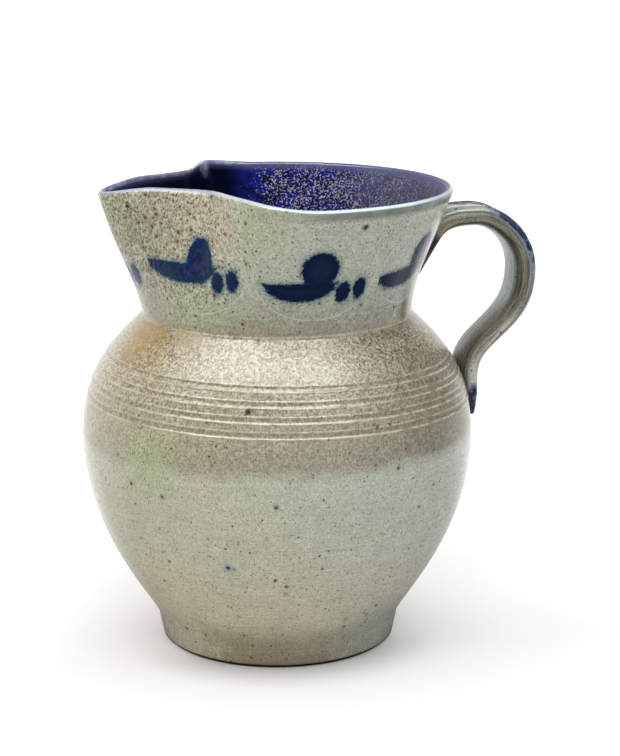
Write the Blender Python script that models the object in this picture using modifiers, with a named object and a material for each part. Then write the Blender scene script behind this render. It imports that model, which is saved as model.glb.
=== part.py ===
# Salt-glazed stoneware creamer: a wheel-thrown body with a spout pulled from its rim, and a pulled strap handle.
# Metres, +Z up. The origin lies on the body's axis, on the plane that it stands on.
# The spout points to -X and the handle to +X.

import bisect
import math
from itertools import accumulate

import bmesh
import bpy
from mathutils import Vector
from mathutils.geometry import interpolate_bezier

OBJECT_NAME = "salt_glazed_creamer"

# Outside of the thrown body, from the foot up
FOOT_RADIUS = 0.0301
FOOT_BEVEL = 0.0006
FOOT_HEIGHT = 0.0070
FOOT_TOP_RADIUS = 0.0316
BELLY_HEIGHT = 0.0543
BELLY_RADIUS = 0.05025
NECK_HEIGHT = 0.0861
NECK_RADIUS = 0.03445
RIM_HEIGHT = 0.1180
RIM_RADIUS = 0.04505

# Lean of the outline from the vertical, in degrees, and how far each bend pulls, as a share of its rise
FOOT_FLARE = 24.6
FOOT_PULL = 0.143
BELLY_PULL_BELOW = 0.51
BELLY_PULL_ABOVE = 0.67
SHOULDER_LEAN = 20.4
SHOULDER_PULL = 0.104
NECK_LEAN = 4.9
NECK_PULL = 0.28
RIM_FLARE = 21.5
RIM_PULL = 0.75

# Walls
FLOOR_THICKNESS = 0.0055
BELLY_WALL = 0.0040
NECK_WALL = 0.0030
LIP_WALL = 0.0020
FOOT_WALL = 0.0081
BOWL_RISE = 0.0120
BOWL_PULL = 0.0070

# Grooves turned on the shoulder with the edge of a rib
GROOVE_COUNT = 4
GROOVE_DROP = 0.0101
GROOVE_PITCH = 0.0034
GROOVE_WIDTH = 0.0018
GROOVE_DEPTH = 0.0005
GROOVE_UPPER_SHARE = 0.6

# Spout: its tip, where two fingers press the throat, and where it runs into the round rim
SPOUT_REACH = 0.0004
SPOUT_TIP_ROUND = 0.0084
SPOUT_TIP_DROOP = 0.0020
SPOUT_DROOP_SHARE = 0.25
SPOUT_THROAT_OFFSET = 0.0196
SPOUT_THROAT_HALF_WIDTH = 0.0215
SPOUT_THROAT_TURN = 107.0
SPOUT_THROAT_PULL_BEFORE = 0.0073
SPOUT_THROAT_PULL_AFTER = 0.0180
SPOUT_JOIN_TURN = 95.0
SPOUT_JOIN_PULL = 0.0170
SPOUT_LIP_RISE = 0.0018
SPOUT_RISE_SHARE = 0.67
SPOUT_RIDGE = 0.0012
SPOUT_RIDGE_TURN = 30.0
SPOUT_FADE = 1.5

# Handle: a strap that leaves the neck, arches out, and comes back down along the shoulder
HANDLE_WIDTH = 0.0132
HANDLE_THICKNESS = 0.0060
HANDLE_SQUARENESS = 2.6
HANDLE_BACK_GROOVE = 0.0006
HANDLE_EDGE_GROOVE = 0.0007
HANDLE_GROOVE_SHARPNESS = 16
HANDLE_ROOT_DROP = 0.0185
HANDLE_ROOT_BURY = 0.0100
HANDLE_ROOT_HEADING = 42.0
HANDLE_TOP_DROP = 0.0088
HANDLE_TOP_OFFSET = 0.0134
HANDLE_REACH = 0.01445
HANDLE_GRIP_SHARE = 0.55
HANDLE_CROOK_DROP = 0.0097
HANDLE_CROOK_STAND = 0.0111
HANDLE_CROOK_HEADING = -137.0
HANDLE_TAIL_DROP = 0.0291
HANDLE_TAIL_SINK = 0.0010
HANDLE_TAIL_HEADING = -108.0

# Pull of the strap's bends, as shares of the straight way between two knots, and its scale at grip and tail
ROOT_PULL = 0.58
TOP_PULL_BEFORE = 0.525
TOP_PULL_AFTER = 0.28
GRIP_PULL_BEFORE = 0.46
GRIP_PULL_AFTER = 0.42
CROOK_PULL_BEFORE = 0.45
CROOK_PULL_AFTER = 0.48
TAIL_PULL = 0.44
GRIP_SCALE = 1.1
TAIL_SCALE = 0.9
LUTING_GAP = 0.0003

# Facets
TURN_STEPS = 72
LIP_STEPS = 4
NECK_STEPS = 10
SHOULDER_STEPS = 4
BELLY_STEPS = 12
BOWL_STEPS = 4
INSIDE_STEPS = 14
CURVE_SAMPLES = 96
STRAP_POINTS = 20
STRAP_STEPS = 10
MERGE_DISTANCE = 0.00001
SHARP_ANGLE = 30.0
SLOPE_STEP = 0.5

# Glaze colours
BODY_COLOUR = (0.42, 0.40, 0.33, 1.0)
HANDLE_COLOUR = (0.34, 0.31, 0.25, 1.0)
GLAZE_ROUGHNESS = 0.38


def clear_scene():
    for old in list(bpy.data.objects):
        bpy.data.objects.remove(old, do_unlink=True)


def new_collection(name):
    collection = bpy.data.collections.new(name)
    bpy.context.scene.collection.children.link(collection)
    return collection


def glaze(name, colour):
    material = bpy.data.materials.new(name)
    material.use_nodes = True
    shader = material.node_tree.nodes["Principled BSDF"]
    shader.inputs["Base Color"].default_value = colour
    shader.inputs["Roughness"].default_value = GLAZE_ROUGHNESS
    shader.inputs["Metallic"].default_value = 0.0
    return material


def lean(degrees):
    """Direction in the plane of the outline, (outwards, up), leaning from the vertical."""
    return Vector((math.sin(math.radians(degrees)), math.cos(math.radians(degrees))))


def heading(degrees):
    """Direction in a plane, turned from its first axis."""
    return Vector((math.cos(math.radians(degrees)), math.sin(math.radians(degrees))))


def bend(start, leave, arrive, end, count):
    """Points of one Bezier bend between start and end."""
    knots = [point.to_3d() for point in (start, leave, arrive, end)]
    return [point.to_2d() for point in interpolate_bezier(*knots, count)]


def outline_bends():
    """The plain outside of the turned body as bends from the foot up, each a list of (radius, height)."""
    base = Vector((FOOT_RADIUS, 0.0))
    foot = Vector((FOOT_TOP_RADIUS, FOOT_HEIGHT))
    belly = Vector((BELLY_RADIUS, BELLY_HEIGHT))
    neck = Vector((NECK_RADIUS, NECK_HEIGHT))
    rim = Vector((RIM_RADIUS, RIM_HEIGHT))
    up = lean(0.0)
    lower_rise = BELLY_HEIGHT - FOOT_HEIGHT
    upper_rise = NECK_HEIGHT - BELLY_HEIGHT
    neck_rise = RIM_HEIGHT - NECK_HEIGHT
    foot_wall = [base, foot]
    lower = bend(
        foot,
        foot + lean(FOOT_FLARE) * FOOT_PULL * lower_rise,
        belly - up * BELLY_PULL_BELOW * lower_rise,
        belly,
        CURVE_SAMPLES,
    )
    upper = bend(
        belly,
        belly + up * BELLY_PULL_ABOVE * upper_rise,
        neck - lean(-SHOULDER_LEAN) * SHOULDER_PULL * upper_rise,
        neck,
        CURVE_SAMPLES,
    )
    flare = bend(
        neck,
        neck + lean(NECK_LEAN) * NECK_PULL * neck_rise,
        rim - lean(RIM_FLARE) * RIM_PULL * neck_rise,
        rim,
        CURVE_SAMPLES,
    )
    return [foot_wall, lower, upper, flare]


OUTLINE = [point for run in outline_bends() for point in run]
OUTLINE_HEIGHTS = [point.y for point in OUTLINE]


def outer_radius(height):
    """Outside radius of the plain turned body at a height."""
    above = bisect.bisect_left(OUTLINE_HEIGHTS, height)
    above = min(max(above, 1), len(OUTLINE) - 1)
    low, high = OUTLINE[above - 1], OUTLINE[above]
    rise = max(high.y - low.y, MERGE_DISTANCE)
    share = min(max((height - low.y) / rise, 0.0), 1.0)
    return low.x + (high.x - low.x) * share


def wall_thickness(height):
    """The wall thins from the belly to the neck, and from the neck to the lip."""
    if height <= BELLY_HEIGHT:
        return BELLY_WALL
    if height <= NECK_HEIGHT:
        share = (height - BELLY_HEIGHT) / (NECK_HEIGHT - BELLY_HEIGHT)
        return BELLY_WALL + (NECK_WALL - BELLY_WALL) * share
    share = (height - NECK_HEIGHT) / (RIM_HEIGHT - NECK_HEIGHT)
    return NECK_WALL + (LIP_WALL - NECK_WALL) * min(share, 1.0)


def spread(start, end, count):
    """Even steps from start towards end, without the end itself."""
    return [start + (end - start) * step / count for step in range(count)]


def groove_points():
    """Points of the shoulder grooves, top down: a soft upper edge, the bottom, and a crisp lower edge."""
    points = []
    for number in range(GROOVE_COUNT):
        middle = NECK_HEIGHT - GROOVE_DROP - number * GROOVE_PITCH
        upper_edge = middle + GROOVE_WIDTH * GROOVE_UPPER_SHARE
        lower_edge = middle - GROOVE_WIDTH * (1 - GROOVE_UPPER_SHARE)
        points.append(Vector((outer_radius(upper_edge), upper_edge)))
        points.append(Vector((outer_radius(middle) - GROOVE_DEPTH, middle)))
        points.append(Vector((outer_radius(lower_edge), lower_edge)))
    return points


def outside_points():
    """The outside from just below the lip down to the bevel of the foot."""
    lip_base = RIM_HEIGHT - LIP_WALL / 2
    grooves = groove_points()
    neck = [Vector((outer_radius(z), z)) for z in spread(lip_base, NECK_HEIGHT, NECK_STEPS)]
    shoulder = [Vector((outer_radius(z), z)) for z in spread(NECK_HEIGHT, grooves[0].y, SHOULDER_STEPS)]
    heights = spread(grooves[-1].y, FOOT_HEIGHT, BELLY_STEPS)[1:]
    belly = [Vector((outer_radius(z), z)) for z in heights]
    foot = [
        Vector((FOOT_TOP_RADIUS, FOOT_HEIGHT)),
        Vector((outer_radius(FOOT_BEVEL), FOOT_BEVEL)),
        Vector((FOOT_RADIUS - FOOT_BEVEL, 0.0)),
    ]
    return neck + shoulder + grooves + belly + foot


def inside_points():
    """The inside from the middle of the floor up to just below the lip."""
    bowl_top = FLOOR_THICKNESS + BOWL_RISE
    lip_base = RIM_HEIGHT - LIP_WALL / 2
    flat = Vector((FOOT_RADIUS - FOOT_WALL, FLOOR_THICKNESS))
    wall_foot = Vector((outer_radius(bowl_top) - wall_thickness(bowl_top), bowl_top))
    bowl = bend(
        flat,
        flat + Vector((BOWL_PULL, 0.0)),
        wall_foot - lean(FOOT_FLARE) * BOWL_PULL,
        wall_foot,
        BOWL_STEPS + 1,
    )
    heights = spread(lip_base, bowl_top, INSIDE_STEPS)[::-1]
    wall = [Vector((outer_radius(z) - wall_thickness(z), z)) for z in heights]
    return [Vector((0.0, FLOOR_THICKNESS))] + bowl + wall


def lip_points():
    """The rounded lip, from the inside over to the outside, without its two ends."""
    lip_base = RIM_HEIGHT - LIP_WALL / 2
    centre = Vector((outer_radius(lip_base) - LIP_WALL / 2, lip_base))
    turns = [180.0 - 180.0 * step / LIP_STEPS for step in range(1, LIP_STEPS)]
    return [centre + heading(turn) * LIP_WALL / 2 for turn in turns]


def turned(name, outline, collection):
    """A profile of (radius, height) points, at +X, turned about Z with a Screw modifier."""
    mesh = bpy.data.meshes.new(name)
    points = [(point.x, 0.0, point.y) for point in outline]
    mesh.from_pydata(points, [(i, i + 1) for i in range(len(points) - 1)], [])
    turned_object = bpy.data.objects.new(name, mesh)
    collection.objects.link(turned_object)
    screw = turned_object.modifiers.new("turn", "SCREW")
    screw.steps = TURN_STEPS
    screw.render_steps = TURN_STEPS
    screw.use_merge_vertices = True
    screw.merge_threshold = MERGE_DISTANCE
    return turned_object


def made_mesh(source, name, collection):
    """A mesh object of what source looks like with its modifiers or bevel; source is removed."""
    bpy.context.view_layer.update()
    graph = bpy.context.evaluated_depsgraph_get()
    mesh = bpy.data.meshes.new_from_object(source.evaluated_get(graph))
    place = source.matrix_world.copy()
    bpy.data.objects.remove(source, do_unlink=True)
    mesh.name = name
    made = bpy.data.objects.new(name, mesh)
    made.matrix_world = place
    collection.objects.link(made)
    shape = bmesh.new()
    shape.from_mesh(mesh)
    bmesh.ops.remove_doubles(shape, verts=shape.verts, dist=MERGE_DISTANCE)
    bmesh.ops.recalc_face_normals(shape, faces=shape.faces)
    shape.to_mesh(mesh)
    shape.free()
    return made


def spout_plan():
    """Half of the lip's plan, from the spout's tip to the round rim, as (along the spout, across)."""
    tip = Vector((RIM_RADIUS + SPOUT_REACH, 0.0))
    throat = Vector((SPOUT_THROAT_OFFSET, SPOUT_THROAT_HALF_WIDTH))
    join = heading(SPOUT_JOIN_TURN) * RIM_RADIUS
    through = heading(SPOUT_THROAT_TURN)
    before_throat = throat - through * SPOUT_THROAT_PULL_BEFORE
    after_throat = throat + through * SPOUT_THROAT_PULL_AFTER
    before_join = join - heading(SPOUT_JOIN_TURN + 90.0) * SPOUT_JOIN_PULL
    beak = bend(tip, tip + Vector((0.0, SPOUT_TIP_ROUND)), before_throat, throat, CURVE_SAMPLES)
    shoulder = bend(throat, after_throat, before_join, join, CURVE_SAMPLES)
    return beak + shoulder[1:]


PLAN = spout_plan()
PLAN_STEPS = [(after - before).length for before, after in zip(PLAN, PLAN[1:])]
PLAN_LENGTHS = [0.0, *accumulate(PLAN_STEPS)]


def plan_point(share):
    """Point of the half plan at a share of its length from the tip."""
    wanted = share * PLAN_LENGTHS[-1]
    above = min(max(bisect.bisect_left(PLAN_LENGTHS, wanted), 1), len(PLAN) - 1)
    low, high = PLAN_LENGTHS[above - 1], PLAN_LENGTHS[above]
    return PLAN[above - 1].lerp(PLAN[above], (wanted - low) / (high - low))


def pulled_outside(turn, height):
    """Where the outside point at this turn from the spout's axis goes, as (along the spout, across)."""
    plain = heading(math.degrees(turn)) * outer_radius(height)
    join = math.radians(SPOUT_JOIN_TURN)
    rise = (height - NECK_HEIGHT) / (RIM_HEIGHT - NECK_HEIGHT)
    if abs(turn) >= join or rise <= 0.0:
        return plain
    lip = plan_point(abs(turn) / join)
    lip.y = math.copysign(lip.y, turn)
    shift = (lip - heading(math.degrees(turn)) * RIM_RADIUS) * rise**SPOUT_FADE
    ridge_share = min(abs(turn) / math.radians(SPOUT_RIDGE_TURN), 1.0)
    ridge = SPOUT_RIDGE * 4 * rise * (1 - rise) * math.cos(ridge_share * math.pi / 2) ** 2
    return plain + shift + heading(math.degrees(turn)) * ridge


def ease(start, end, value):
    """0 before start, 1 after end, and a smooth step between them."""
    share = min(max((value - start) / (end - start), 0.0), 1.0)
    return share * share * (3 - 2 * share)


def lip_lift(share):
    """How far the lip stands above the round rim, at a share of its length from the spout's tip."""
    rise = SPOUT_LIP_RISE * (1 - ease(SPOUT_RISE_SHARE, 1.0, share))
    droop = SPOUT_TIP_DROOP * (1 - ease(0.0, SPOUT_DROOP_SHARE, share))
    return rise - droop


def pull_spout(body):
    """Draws the rim out into a beak and presses its sides in, keeping the wall's thickness."""
    nudge = math.radians(SLOPE_STEP)
    join = math.radians(SPOUT_JOIN_TURN)
    for vertex in body.data.vertices:
        height = min(vertex.co.z, RIM_HEIGHT)
        turn = math.atan2(-vertex.co.y, -vertex.co.x)
        if height <= NECK_HEIGHT or abs(turn) >= join:
            continue
        rise = (height - NECK_HEIGHT) / (RIM_HEIGHT - NECK_HEIGHT)
        depth = outer_radius(height) - vertex.co.to_2d().length
        along = pulled_outside(turn + nudge, height) - pulled_outside(turn - nudge, height)
        outwards = Vector((along.y, -along.x)).normalized()
        spot = pulled_outside(turn, height) - outwards * depth
        lift = lip_lift(abs(turn) / join) * rise**SPOUT_FADE
        vertex.co = Vector((-spot.x, -spot.y, vertex.co.z + lift))


def thrown_body(collection):
    outline = inside_points() + lip_points() + outside_points() + [Vector((0.0, 0.0))]
    body = made_mesh(turned("thrown_profile", outline, collection), "thrown_body", collection)
    pull_spout(body)
    body.data.materials.append(glaze("body_glaze", BODY_COLOUR))
    body.data.shade_smooth()
    body.data.set_sharp_from_angle(angle=math.radians(SHARP_ANGLE))
    return body


def strap_section(collection):
    """The strap's section: a flattened oval, hollowed along both edges and along the back of the outer face."""
    curve = bpy.data.curves.new("strap_section", "CURVE")
    curve.dimensions = "2D"
    spline = curve.splines.new("POLY")
    spline.points.add(STRAP_POINTS - 1)
    for number, point in enumerate(spline.points):
        turn = 2 * math.pi * number / STRAP_POINTS
        across = math.copysign(abs(math.cos(turn)) ** (2 / HANDLE_SQUARENESS), math.cos(turn))
        through = math.copysign(abs(math.sin(turn)) ** (2 / HANDLE_SQUARENESS), math.sin(turn))
        edge_hollow = HANDLE_EDGE_GROOVE * abs(math.cos(turn)) ** HANDLE_GROOVE_SHARPNESS
        back_hollow = HANDLE_BACK_GROOVE * max(0.0, math.sin(turn)) ** HANDLE_GROOVE_SHARPNESS
        side = across * HANDLE_WIDTH / 2 - math.copysign(edge_hollow, across)
        point.co = (side, through * HANDLE_THICKNESS / 2 - back_hollow, 0.0, 1.0)
    spline.use_cyclic_u = True
    section = bpy.data.objects.new("strap_section", curve)
    collection.objects.link(section)
    section.hide_render = True
    section.display_type = "WIRE"
    return section


def handle_knots():
    """Knots of the strap's middle line, as (x, z), heading, pull before, pull after and scale."""
    root_height = RIM_HEIGHT - HANDLE_ROOT_DROP
    root_radius = outer_radius(root_height)
    root = Vector((root_radius, root_height)) - heading(HANDLE_ROOT_HEADING) * HANDLE_ROOT_BURY
    top = Vector((root_radius + HANDLE_TOP_OFFSET, RIM_HEIGHT - HANDLE_TOP_DROP))
    crook_height = NECK_HEIGHT - HANDLE_CROOK_DROP
    crook = Vector((outer_radius(crook_height) + HANDLE_CROOK_STAND, crook_height))
    grip_height = crook_height + (top.y - crook_height) * HANDLE_GRIP_SHARE
    grip = Vector((BELLY_RADIUS + HANDLE_REACH, grip_height))
    tail_height = NECK_HEIGHT - HANDLE_TAIL_DROP
    tail = Vector((outer_radius(tail_height) - HANDLE_TAIL_SINK, tail_height))
    return [
        (root, HANDLE_ROOT_HEADING, ROOT_PULL, ROOT_PULL, 1.0),
        (top, 0.0, TOP_PULL_BEFORE, TOP_PULL_AFTER, 1.0),
        (grip, -90.0, GRIP_PULL_BEFORE, GRIP_PULL_AFTER, GRIP_SCALE),
        (crook, HANDLE_CROOK_HEADING, CROOK_PULL_BEFORE, CROOK_PULL_AFTER, 1.0),
        (tail, HANDLE_TAIL_HEADING, TAIL_PULL, TAIL_PULL, TAIL_SCALE),
    ]


def handle_curve(section, collection):
    curve = bpy.data.curves.new("handle_path", "CURVE")
    curve.dimensions = "3D"
    curve.resolution_u = STRAP_STEPS
    curve.bevel_mode = "OBJECT"
    curve.bevel_object = section
    curve.use_fill_caps = True
    knots = handle_knots()
    places = [knot[0] for knot in knots]
    ways = [(after - before).length for before, after in zip(places, places[1:])]
    spline = curve.splines.new("BEZIER")
    spline.bezier_points.add(len(knots) - 1)
    for number, (place, turn, pull_before, pull_after, scale) in enumerate(knots):
        way_before = ways[max(number - 1, 0)]
        way_after = ways[min(number, len(ways) - 1)]
        arrive = place - heading(turn) * pull_before * way_before
        leave = place + heading(turn) * pull_after * way_after
        point = spline.bezier_points[number]
        point.handle_left_type = "FREE"
        point.handle_right_type = "FREE"
        point.co = (place.x, 0.0, place.y)
        point.handle_left = (arrive.x, 0.0, arrive.y)
        point.handle_right = (leave.x, 0.0, leave.y)
        point.radius = scale
    path = bpy.data.objects.new("handle_path", curve)
    collection.objects.link(path)
    return path


def luting_cutter(collection):
    """The outside of the body, a hair larger, as one solid: it shapes the handle's two seats."""
    heights = spread(RIM_HEIGHT, NECK_HEIGHT, NECK_STEPS) + spread(NECK_HEIGHT, 0.0, 2 * BELLY_STEPS) + [0.0]
    outline = [Vector((0.0, RIM_HEIGHT))]
    outline += [Vector((outer_radius(z) + LUTING_GAP, z)) for z in heights]
    outline += [Vector((0.0, 0.0))]
    cutter = turned("luting_cutter", outline, collection)
    cutter.hide_render = True
    cutter.display_type = "WIRE"
    return cutter


def pulled_handle(parts, cutters):
    section = strap_section(cutters)
    handle = made_mesh(handle_curve(section, parts), "pulled_handle", parts)
    seats = handle.modifiers.new("luted_seats", "BOOLEAN")
    seats.operation = "DIFFERENCE"
    seats.solver = "EXACT"
    seats.object = luting_cutter(cutters)
    handle.data.materials.append(glaze("handle_glaze", HANDLE_COLOUR))
    handle.data.shade_smooth()
    return handle


def main():
    clear_scene()
    parts = new_collection(OBJECT_NAME)
    cutters = new_collection("cutters")
    thrown_body(parts)
    pulled_handle(parts, cutters)


main()
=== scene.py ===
import math

import bpy
import numpy as np
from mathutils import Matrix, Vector
from mathutils.geometry import interpolate_bezier


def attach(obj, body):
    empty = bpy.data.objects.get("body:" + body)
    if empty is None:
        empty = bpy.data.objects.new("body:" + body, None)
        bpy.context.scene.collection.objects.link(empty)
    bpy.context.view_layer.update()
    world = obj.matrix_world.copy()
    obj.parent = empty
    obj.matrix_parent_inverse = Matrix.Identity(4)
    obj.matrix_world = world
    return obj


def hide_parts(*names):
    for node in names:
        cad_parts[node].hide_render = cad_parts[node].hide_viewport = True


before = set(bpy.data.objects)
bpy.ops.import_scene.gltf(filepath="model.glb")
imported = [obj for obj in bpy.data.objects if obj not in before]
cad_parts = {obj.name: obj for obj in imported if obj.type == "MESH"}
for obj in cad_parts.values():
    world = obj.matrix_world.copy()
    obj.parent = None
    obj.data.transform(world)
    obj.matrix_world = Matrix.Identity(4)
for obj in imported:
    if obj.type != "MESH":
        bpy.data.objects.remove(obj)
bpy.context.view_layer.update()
print("frame loaded:", sorted(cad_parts))


# small helpers for modelling, with turns in degrees
fullTurn = 360.0
quarterTurn = 90.0


def clearSelection():
    if bpy.context.mode != "OBJECT":
        bpy.ops.object.mode_set(mode="OBJECT")
    bpy.ops.object.select_all(action="DESELECT")


def pick(piece):
    clearSelection()
    piece.select_set(True)
    bpy.context.view_layer.objects.active = piece


def readPoints(piece):
    flat = np.empty(len(piece.data.vertices) * 3)
    piece.data.vertices.foreach_get("co", flat)
    return flat.reshape(-1, 3)


def writePoints(piece, points):
    piece.data.vertices.foreach_set("co", points.ravel())
    piece.data.update()


def paintPoints(piece, name, values):
    layer = piece.data.attributes.new(name, "FLOAT", "POINT")
    layer.data.foreach_set("value", np.asarray(values, dtype=np.float32))


def applyModifier(piece, kind, **settings):
    pick(piece)
    added = piece.modifiers.new(kind.lower(), kind)
    for name, value in settings.items():
        setattr(added, name, value)
    bpy.ops.object.modifier_apply(modifier=added.name)


def lean(degrees):  # a direction (outwards, up) that leans from the vertical
    return Vector((math.sin(math.radians(degrees)), math.cos(math.radians(degrees))))


def heading(degrees):  # a direction in a plane, turned from its first axis
    return Vector((math.cos(math.radians(degrees)), math.sin(math.radians(degrees))))


def bend(start, leave, end, arrive, count):  # points of one bezier bend, pulled at both ends
    knots = [knot.to_3d() for knot in (start, start + leave, end - arrive, end)]
    return [knot.to_2d() for knot in interpolate_bezier(*knots, count)]


def easeStep(low, high, value):  # 0 below low, 1 above high, smooth between
    share = np.clip((value - low) / (high - low), 0.0, 1.0)
    return share * share * (3.0 - 2.0 * share)


def bump(value, width):
    return np.exp(-((value / width) ** 2))


def bow(share):  # 0 at both ends, 1 halfway
    return 4.0 * share * (1.0 - share)


def runLength(points):  # way along a line to each of its points
    return np.concatenate([[0.0], np.cumsum(np.linalg.norm(np.diff(points, axis=0), axis=1))])


# the thrown body: metres, degrees, and bends as shares of their rise
jug = {
    "footRadius": 0.0301, "footBevel": 0.0006, "footHeight": 0.0070, "footTopRadius": 0.0316,
    "bellyHeight": 0.0543, "bellyRadius": 0.05025,
    "neckHeight": 0.0861, "neckRadius": 0.03445,
    "rimHeight": 0.1180, "rimRadius": 0.04505,
    "footFlare": 24.6, "footPull": 0.143, "bellyPullBelow": 0.51, "bellyPullAbove": 0.67,
    "shoulderLean": 20.4, "shoulderPull": 0.104, "neckLean": 4.9, "neckPull": 0.28,
    "rimFlare": 21.5, "rimPull": 0.75,
    "floor": 0.0055, "bellyWall": 0.0040, "neckWall": 0.0030, "lipWall": 0.0020, "footWall": 0.0081,
    "bowlRise": 0.0120, "bowlPull": 0.0070,
    "turnSteps": 240, "bendSteps": 96,
    "rimRings": 22, "neckRings": 40, "neckLineRings": 18, "shoulderRings": 10, "grooveRings": 142,
    "bellyRings": 44, "footRings": 7, "baseRings": 5, "insideRings": 50, "bowlRings": 10, "floorRings": 6,
    "lipRings": 14, "rimZone": 0.0046, "neckLineAbove": 0.0012, "neckLineBelow": 0.0016,
    "grooveZone": (0.0792, 0.0622), "mergeDistance": 0.00001, "insideFrom": 0.5,
}

# the spout, pulled from the rim while the clay is soft
spout = {
    "reach": 0.0004, "tipRound": 0.0084, "tipDroop": 0.0020, "droopShare": 0.25,
    "throatOffset": 0.0196, "throatHalfWidth": 0.0215, "throatTurn": 107.0,
    "throatPullBefore": 0.0073, "throatPullAfter": 0.0180, "joinTurn": 95.0, "joinPull": 0.0170,
    "lipRise": 0.0018, "riseShare": 0.67, "ridge": 0.0012, "ridgeTurn": 30.0, "fade": 1.5,
    "lipThin": 0.40, "lipThinReach": 0.0050, "nudge": 0.5,
}

# marks left by the tools: the spiral on the shoulder, the line under the rim, the ridge at the neck
toolMarks = {
    "spiralTop": 0.07745, "spiralPitch": 0.0034, "spiralTurns": 4.0, "spiralStart": 60.0, "spiralFade": 28.0,
    "grooveWidth": 0.00060, "grooveDepth": 0.00014, "burrDrop": 0.00085, "burrRise": 0.00078,
    "lowerBurr": 0.00018, "upperBurr": 0.00014, "burrWidth": 0.00022, "upperTint": 0.7,
    "rimLineDrop": 0.0029, "rimLineDepth": 0.00018, "rimLineWidth": 0.00030,
    "rimLineEnds": (-0.45, 0.15), "rimLineTint": 0.55,
    "rimBurrDrop": 0.00065, "rimBurr": 0.00005, "rimBurrTint": 0.6,
    "neckRidge": 0.00016, "neckRidgeWidth": 0.00028, "neckRidgeDrop": 0.0002, "neckRidgeTint": 0.6,
    "fingerPitch": 0.0062, "fingerDepth": 0.00030, "fingerEnd": (0.022, 0.045),
    "wobble": 0.00012, "inset": 0.00002,
    "wobbleWaves": ((2, 90.0, 0.0), (3, -140.0, 1.0)),  # bumps around, drift with height, start
}


def jugOutline():
    base = Vector((jug["footRadius"], 0.0))
    foot = Vector((jug["footTopRadius"], jug["footHeight"]))
    belly = Vector((jug["bellyRadius"], jug["bellyHeight"]))
    neck = Vector((jug["neckRadius"], jug["neckHeight"]))
    rim = Vector((jug["rimRadius"], jug["rimHeight"]))
    up = lean(0.0)
    lowerRise = belly.y - foot.y
    upperRise = neck.y - belly.y
    neckRise = rim.y - neck.y
    steps = jug["bendSteps"]
    leave = lean(jug["footFlare"]) * jug["footPull"] * lowerRise
    lower = bend(foot, leave, belly, up * jug["bellyPullBelow"] * lowerRise, steps)
    arrive = lean(-jug["shoulderLean"]) * jug["shoulderPull"] * upperRise
    upper = bend(belly, up * jug["bellyPullAbove"] * upperRise, neck, arrive, steps)
    leave = lean(jug["neckLean"]) * jug["neckPull"] * neckRise
    flare = bend(neck, leave, rim, lean(jug["rimFlare"]) * jug["rimPull"] * neckRise, steps)
    return np.array([base, foot] + lower[1:] + upper[1:] + flare[1:])


outline = jugOutline()
outlineLength = runLength(outline)


def outerRadius(height):
    return np.interp(height, outline[:, 1], outline[:, 0])


def lengthAt(height):  # way along the outline from the foot up
    return np.interp(height, outline[:, 1], outlineLength)


def neckShare(height):  # 0 up to the neck line, 1 at the rim
    return np.clip((height - jug["neckHeight"]) / (jug["rimHeight"] - jug["neckHeight"]), 0.0, 1.0)


def wallAt(height):
    stops = (jug["bellyHeight"], jug["neckHeight"], jug["rimHeight"])
    return np.interp(height, stops, (jug["bellyWall"], jug["neckWall"], jug["lipWall"]))


def profilePoints():  # (radius, height) from the middle of the floor, over the lip, to the middle of the base
    lipBase = jug["rimHeight"] - jug["lipWall"] / 2
    bowlTop = jug["floor"] + jug["bowlRise"]
    flat = Vector((jug["footRadius"] - jug["footWall"], jug["floor"]))
    wallFoot = Vector((outerRadius(bowlTop) - wallAt(bowlTop), bowlTop))
    points = [(radius, jug["floor"]) for radius in np.linspace(0.0, flat.x, jug["floorRings"])]
    arrive = lean(jug["footFlare"]) * jug["bowlPull"]
    bowl = bend(flat, Vector((jug["bowlPull"], 0.0)), wallFoot, arrive, jug["bowlRings"])
    points += [tuple(spot) for spot in bowl[1:]]
    for height in np.linspace(bowlTop, lipBase, jug["insideRings"])[1:]:
        points.append((outerRadius(height) - wallAt(height), height))
    lipMiddle = Vector((outerRadius(lipBase) - jug["lipWall"] / 2, lipBase))
    for turn in np.linspace(fullTurn / 2, 0.0, jug["lipRings"])[1:-1]:
        points.append(tuple(lipMiddle + heading(turn) * jug["lipWall"] / 2))
    rimFoot = jug["rimHeight"] - jug["rimZone"]
    neckTop = jug["neckHeight"] + jug["neckLineAbove"]
    neckLow = jug["neckHeight"] - jug["neckLineBelow"]
    grooveTop, grooveFoot = jug["grooveZone"]
    heights = [
        np.linspace(lipBase, rimFoot, jug["rimRings"]),
        np.linspace(rimFoot, neckTop, jug["neckRings"])[1:],
        np.linspace(neckTop, neckLow, jug["neckLineRings"])[1:],
        np.linspace(neckLow, grooveTop, jug["shoulderRings"])[1:],
        np.linspace(grooveTop, grooveFoot, jug["grooveRings"])[1:],
        np.linspace(grooveFoot, jug["footHeight"], jug["bellyRings"])[1:],
        np.linspace(jug["footHeight"], jug["footBevel"], jug["footRings"])[1:],
    ]
    points += [(outerRadius(height), height) for height in np.concatenate(heights)]
    flatEdge = jug["footRadius"] - jug["footBevel"]
    points += [(radius, 0.0) for radius in np.linspace(flatEdge, 0.0, jug["baseRings"])]
    return points


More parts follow.
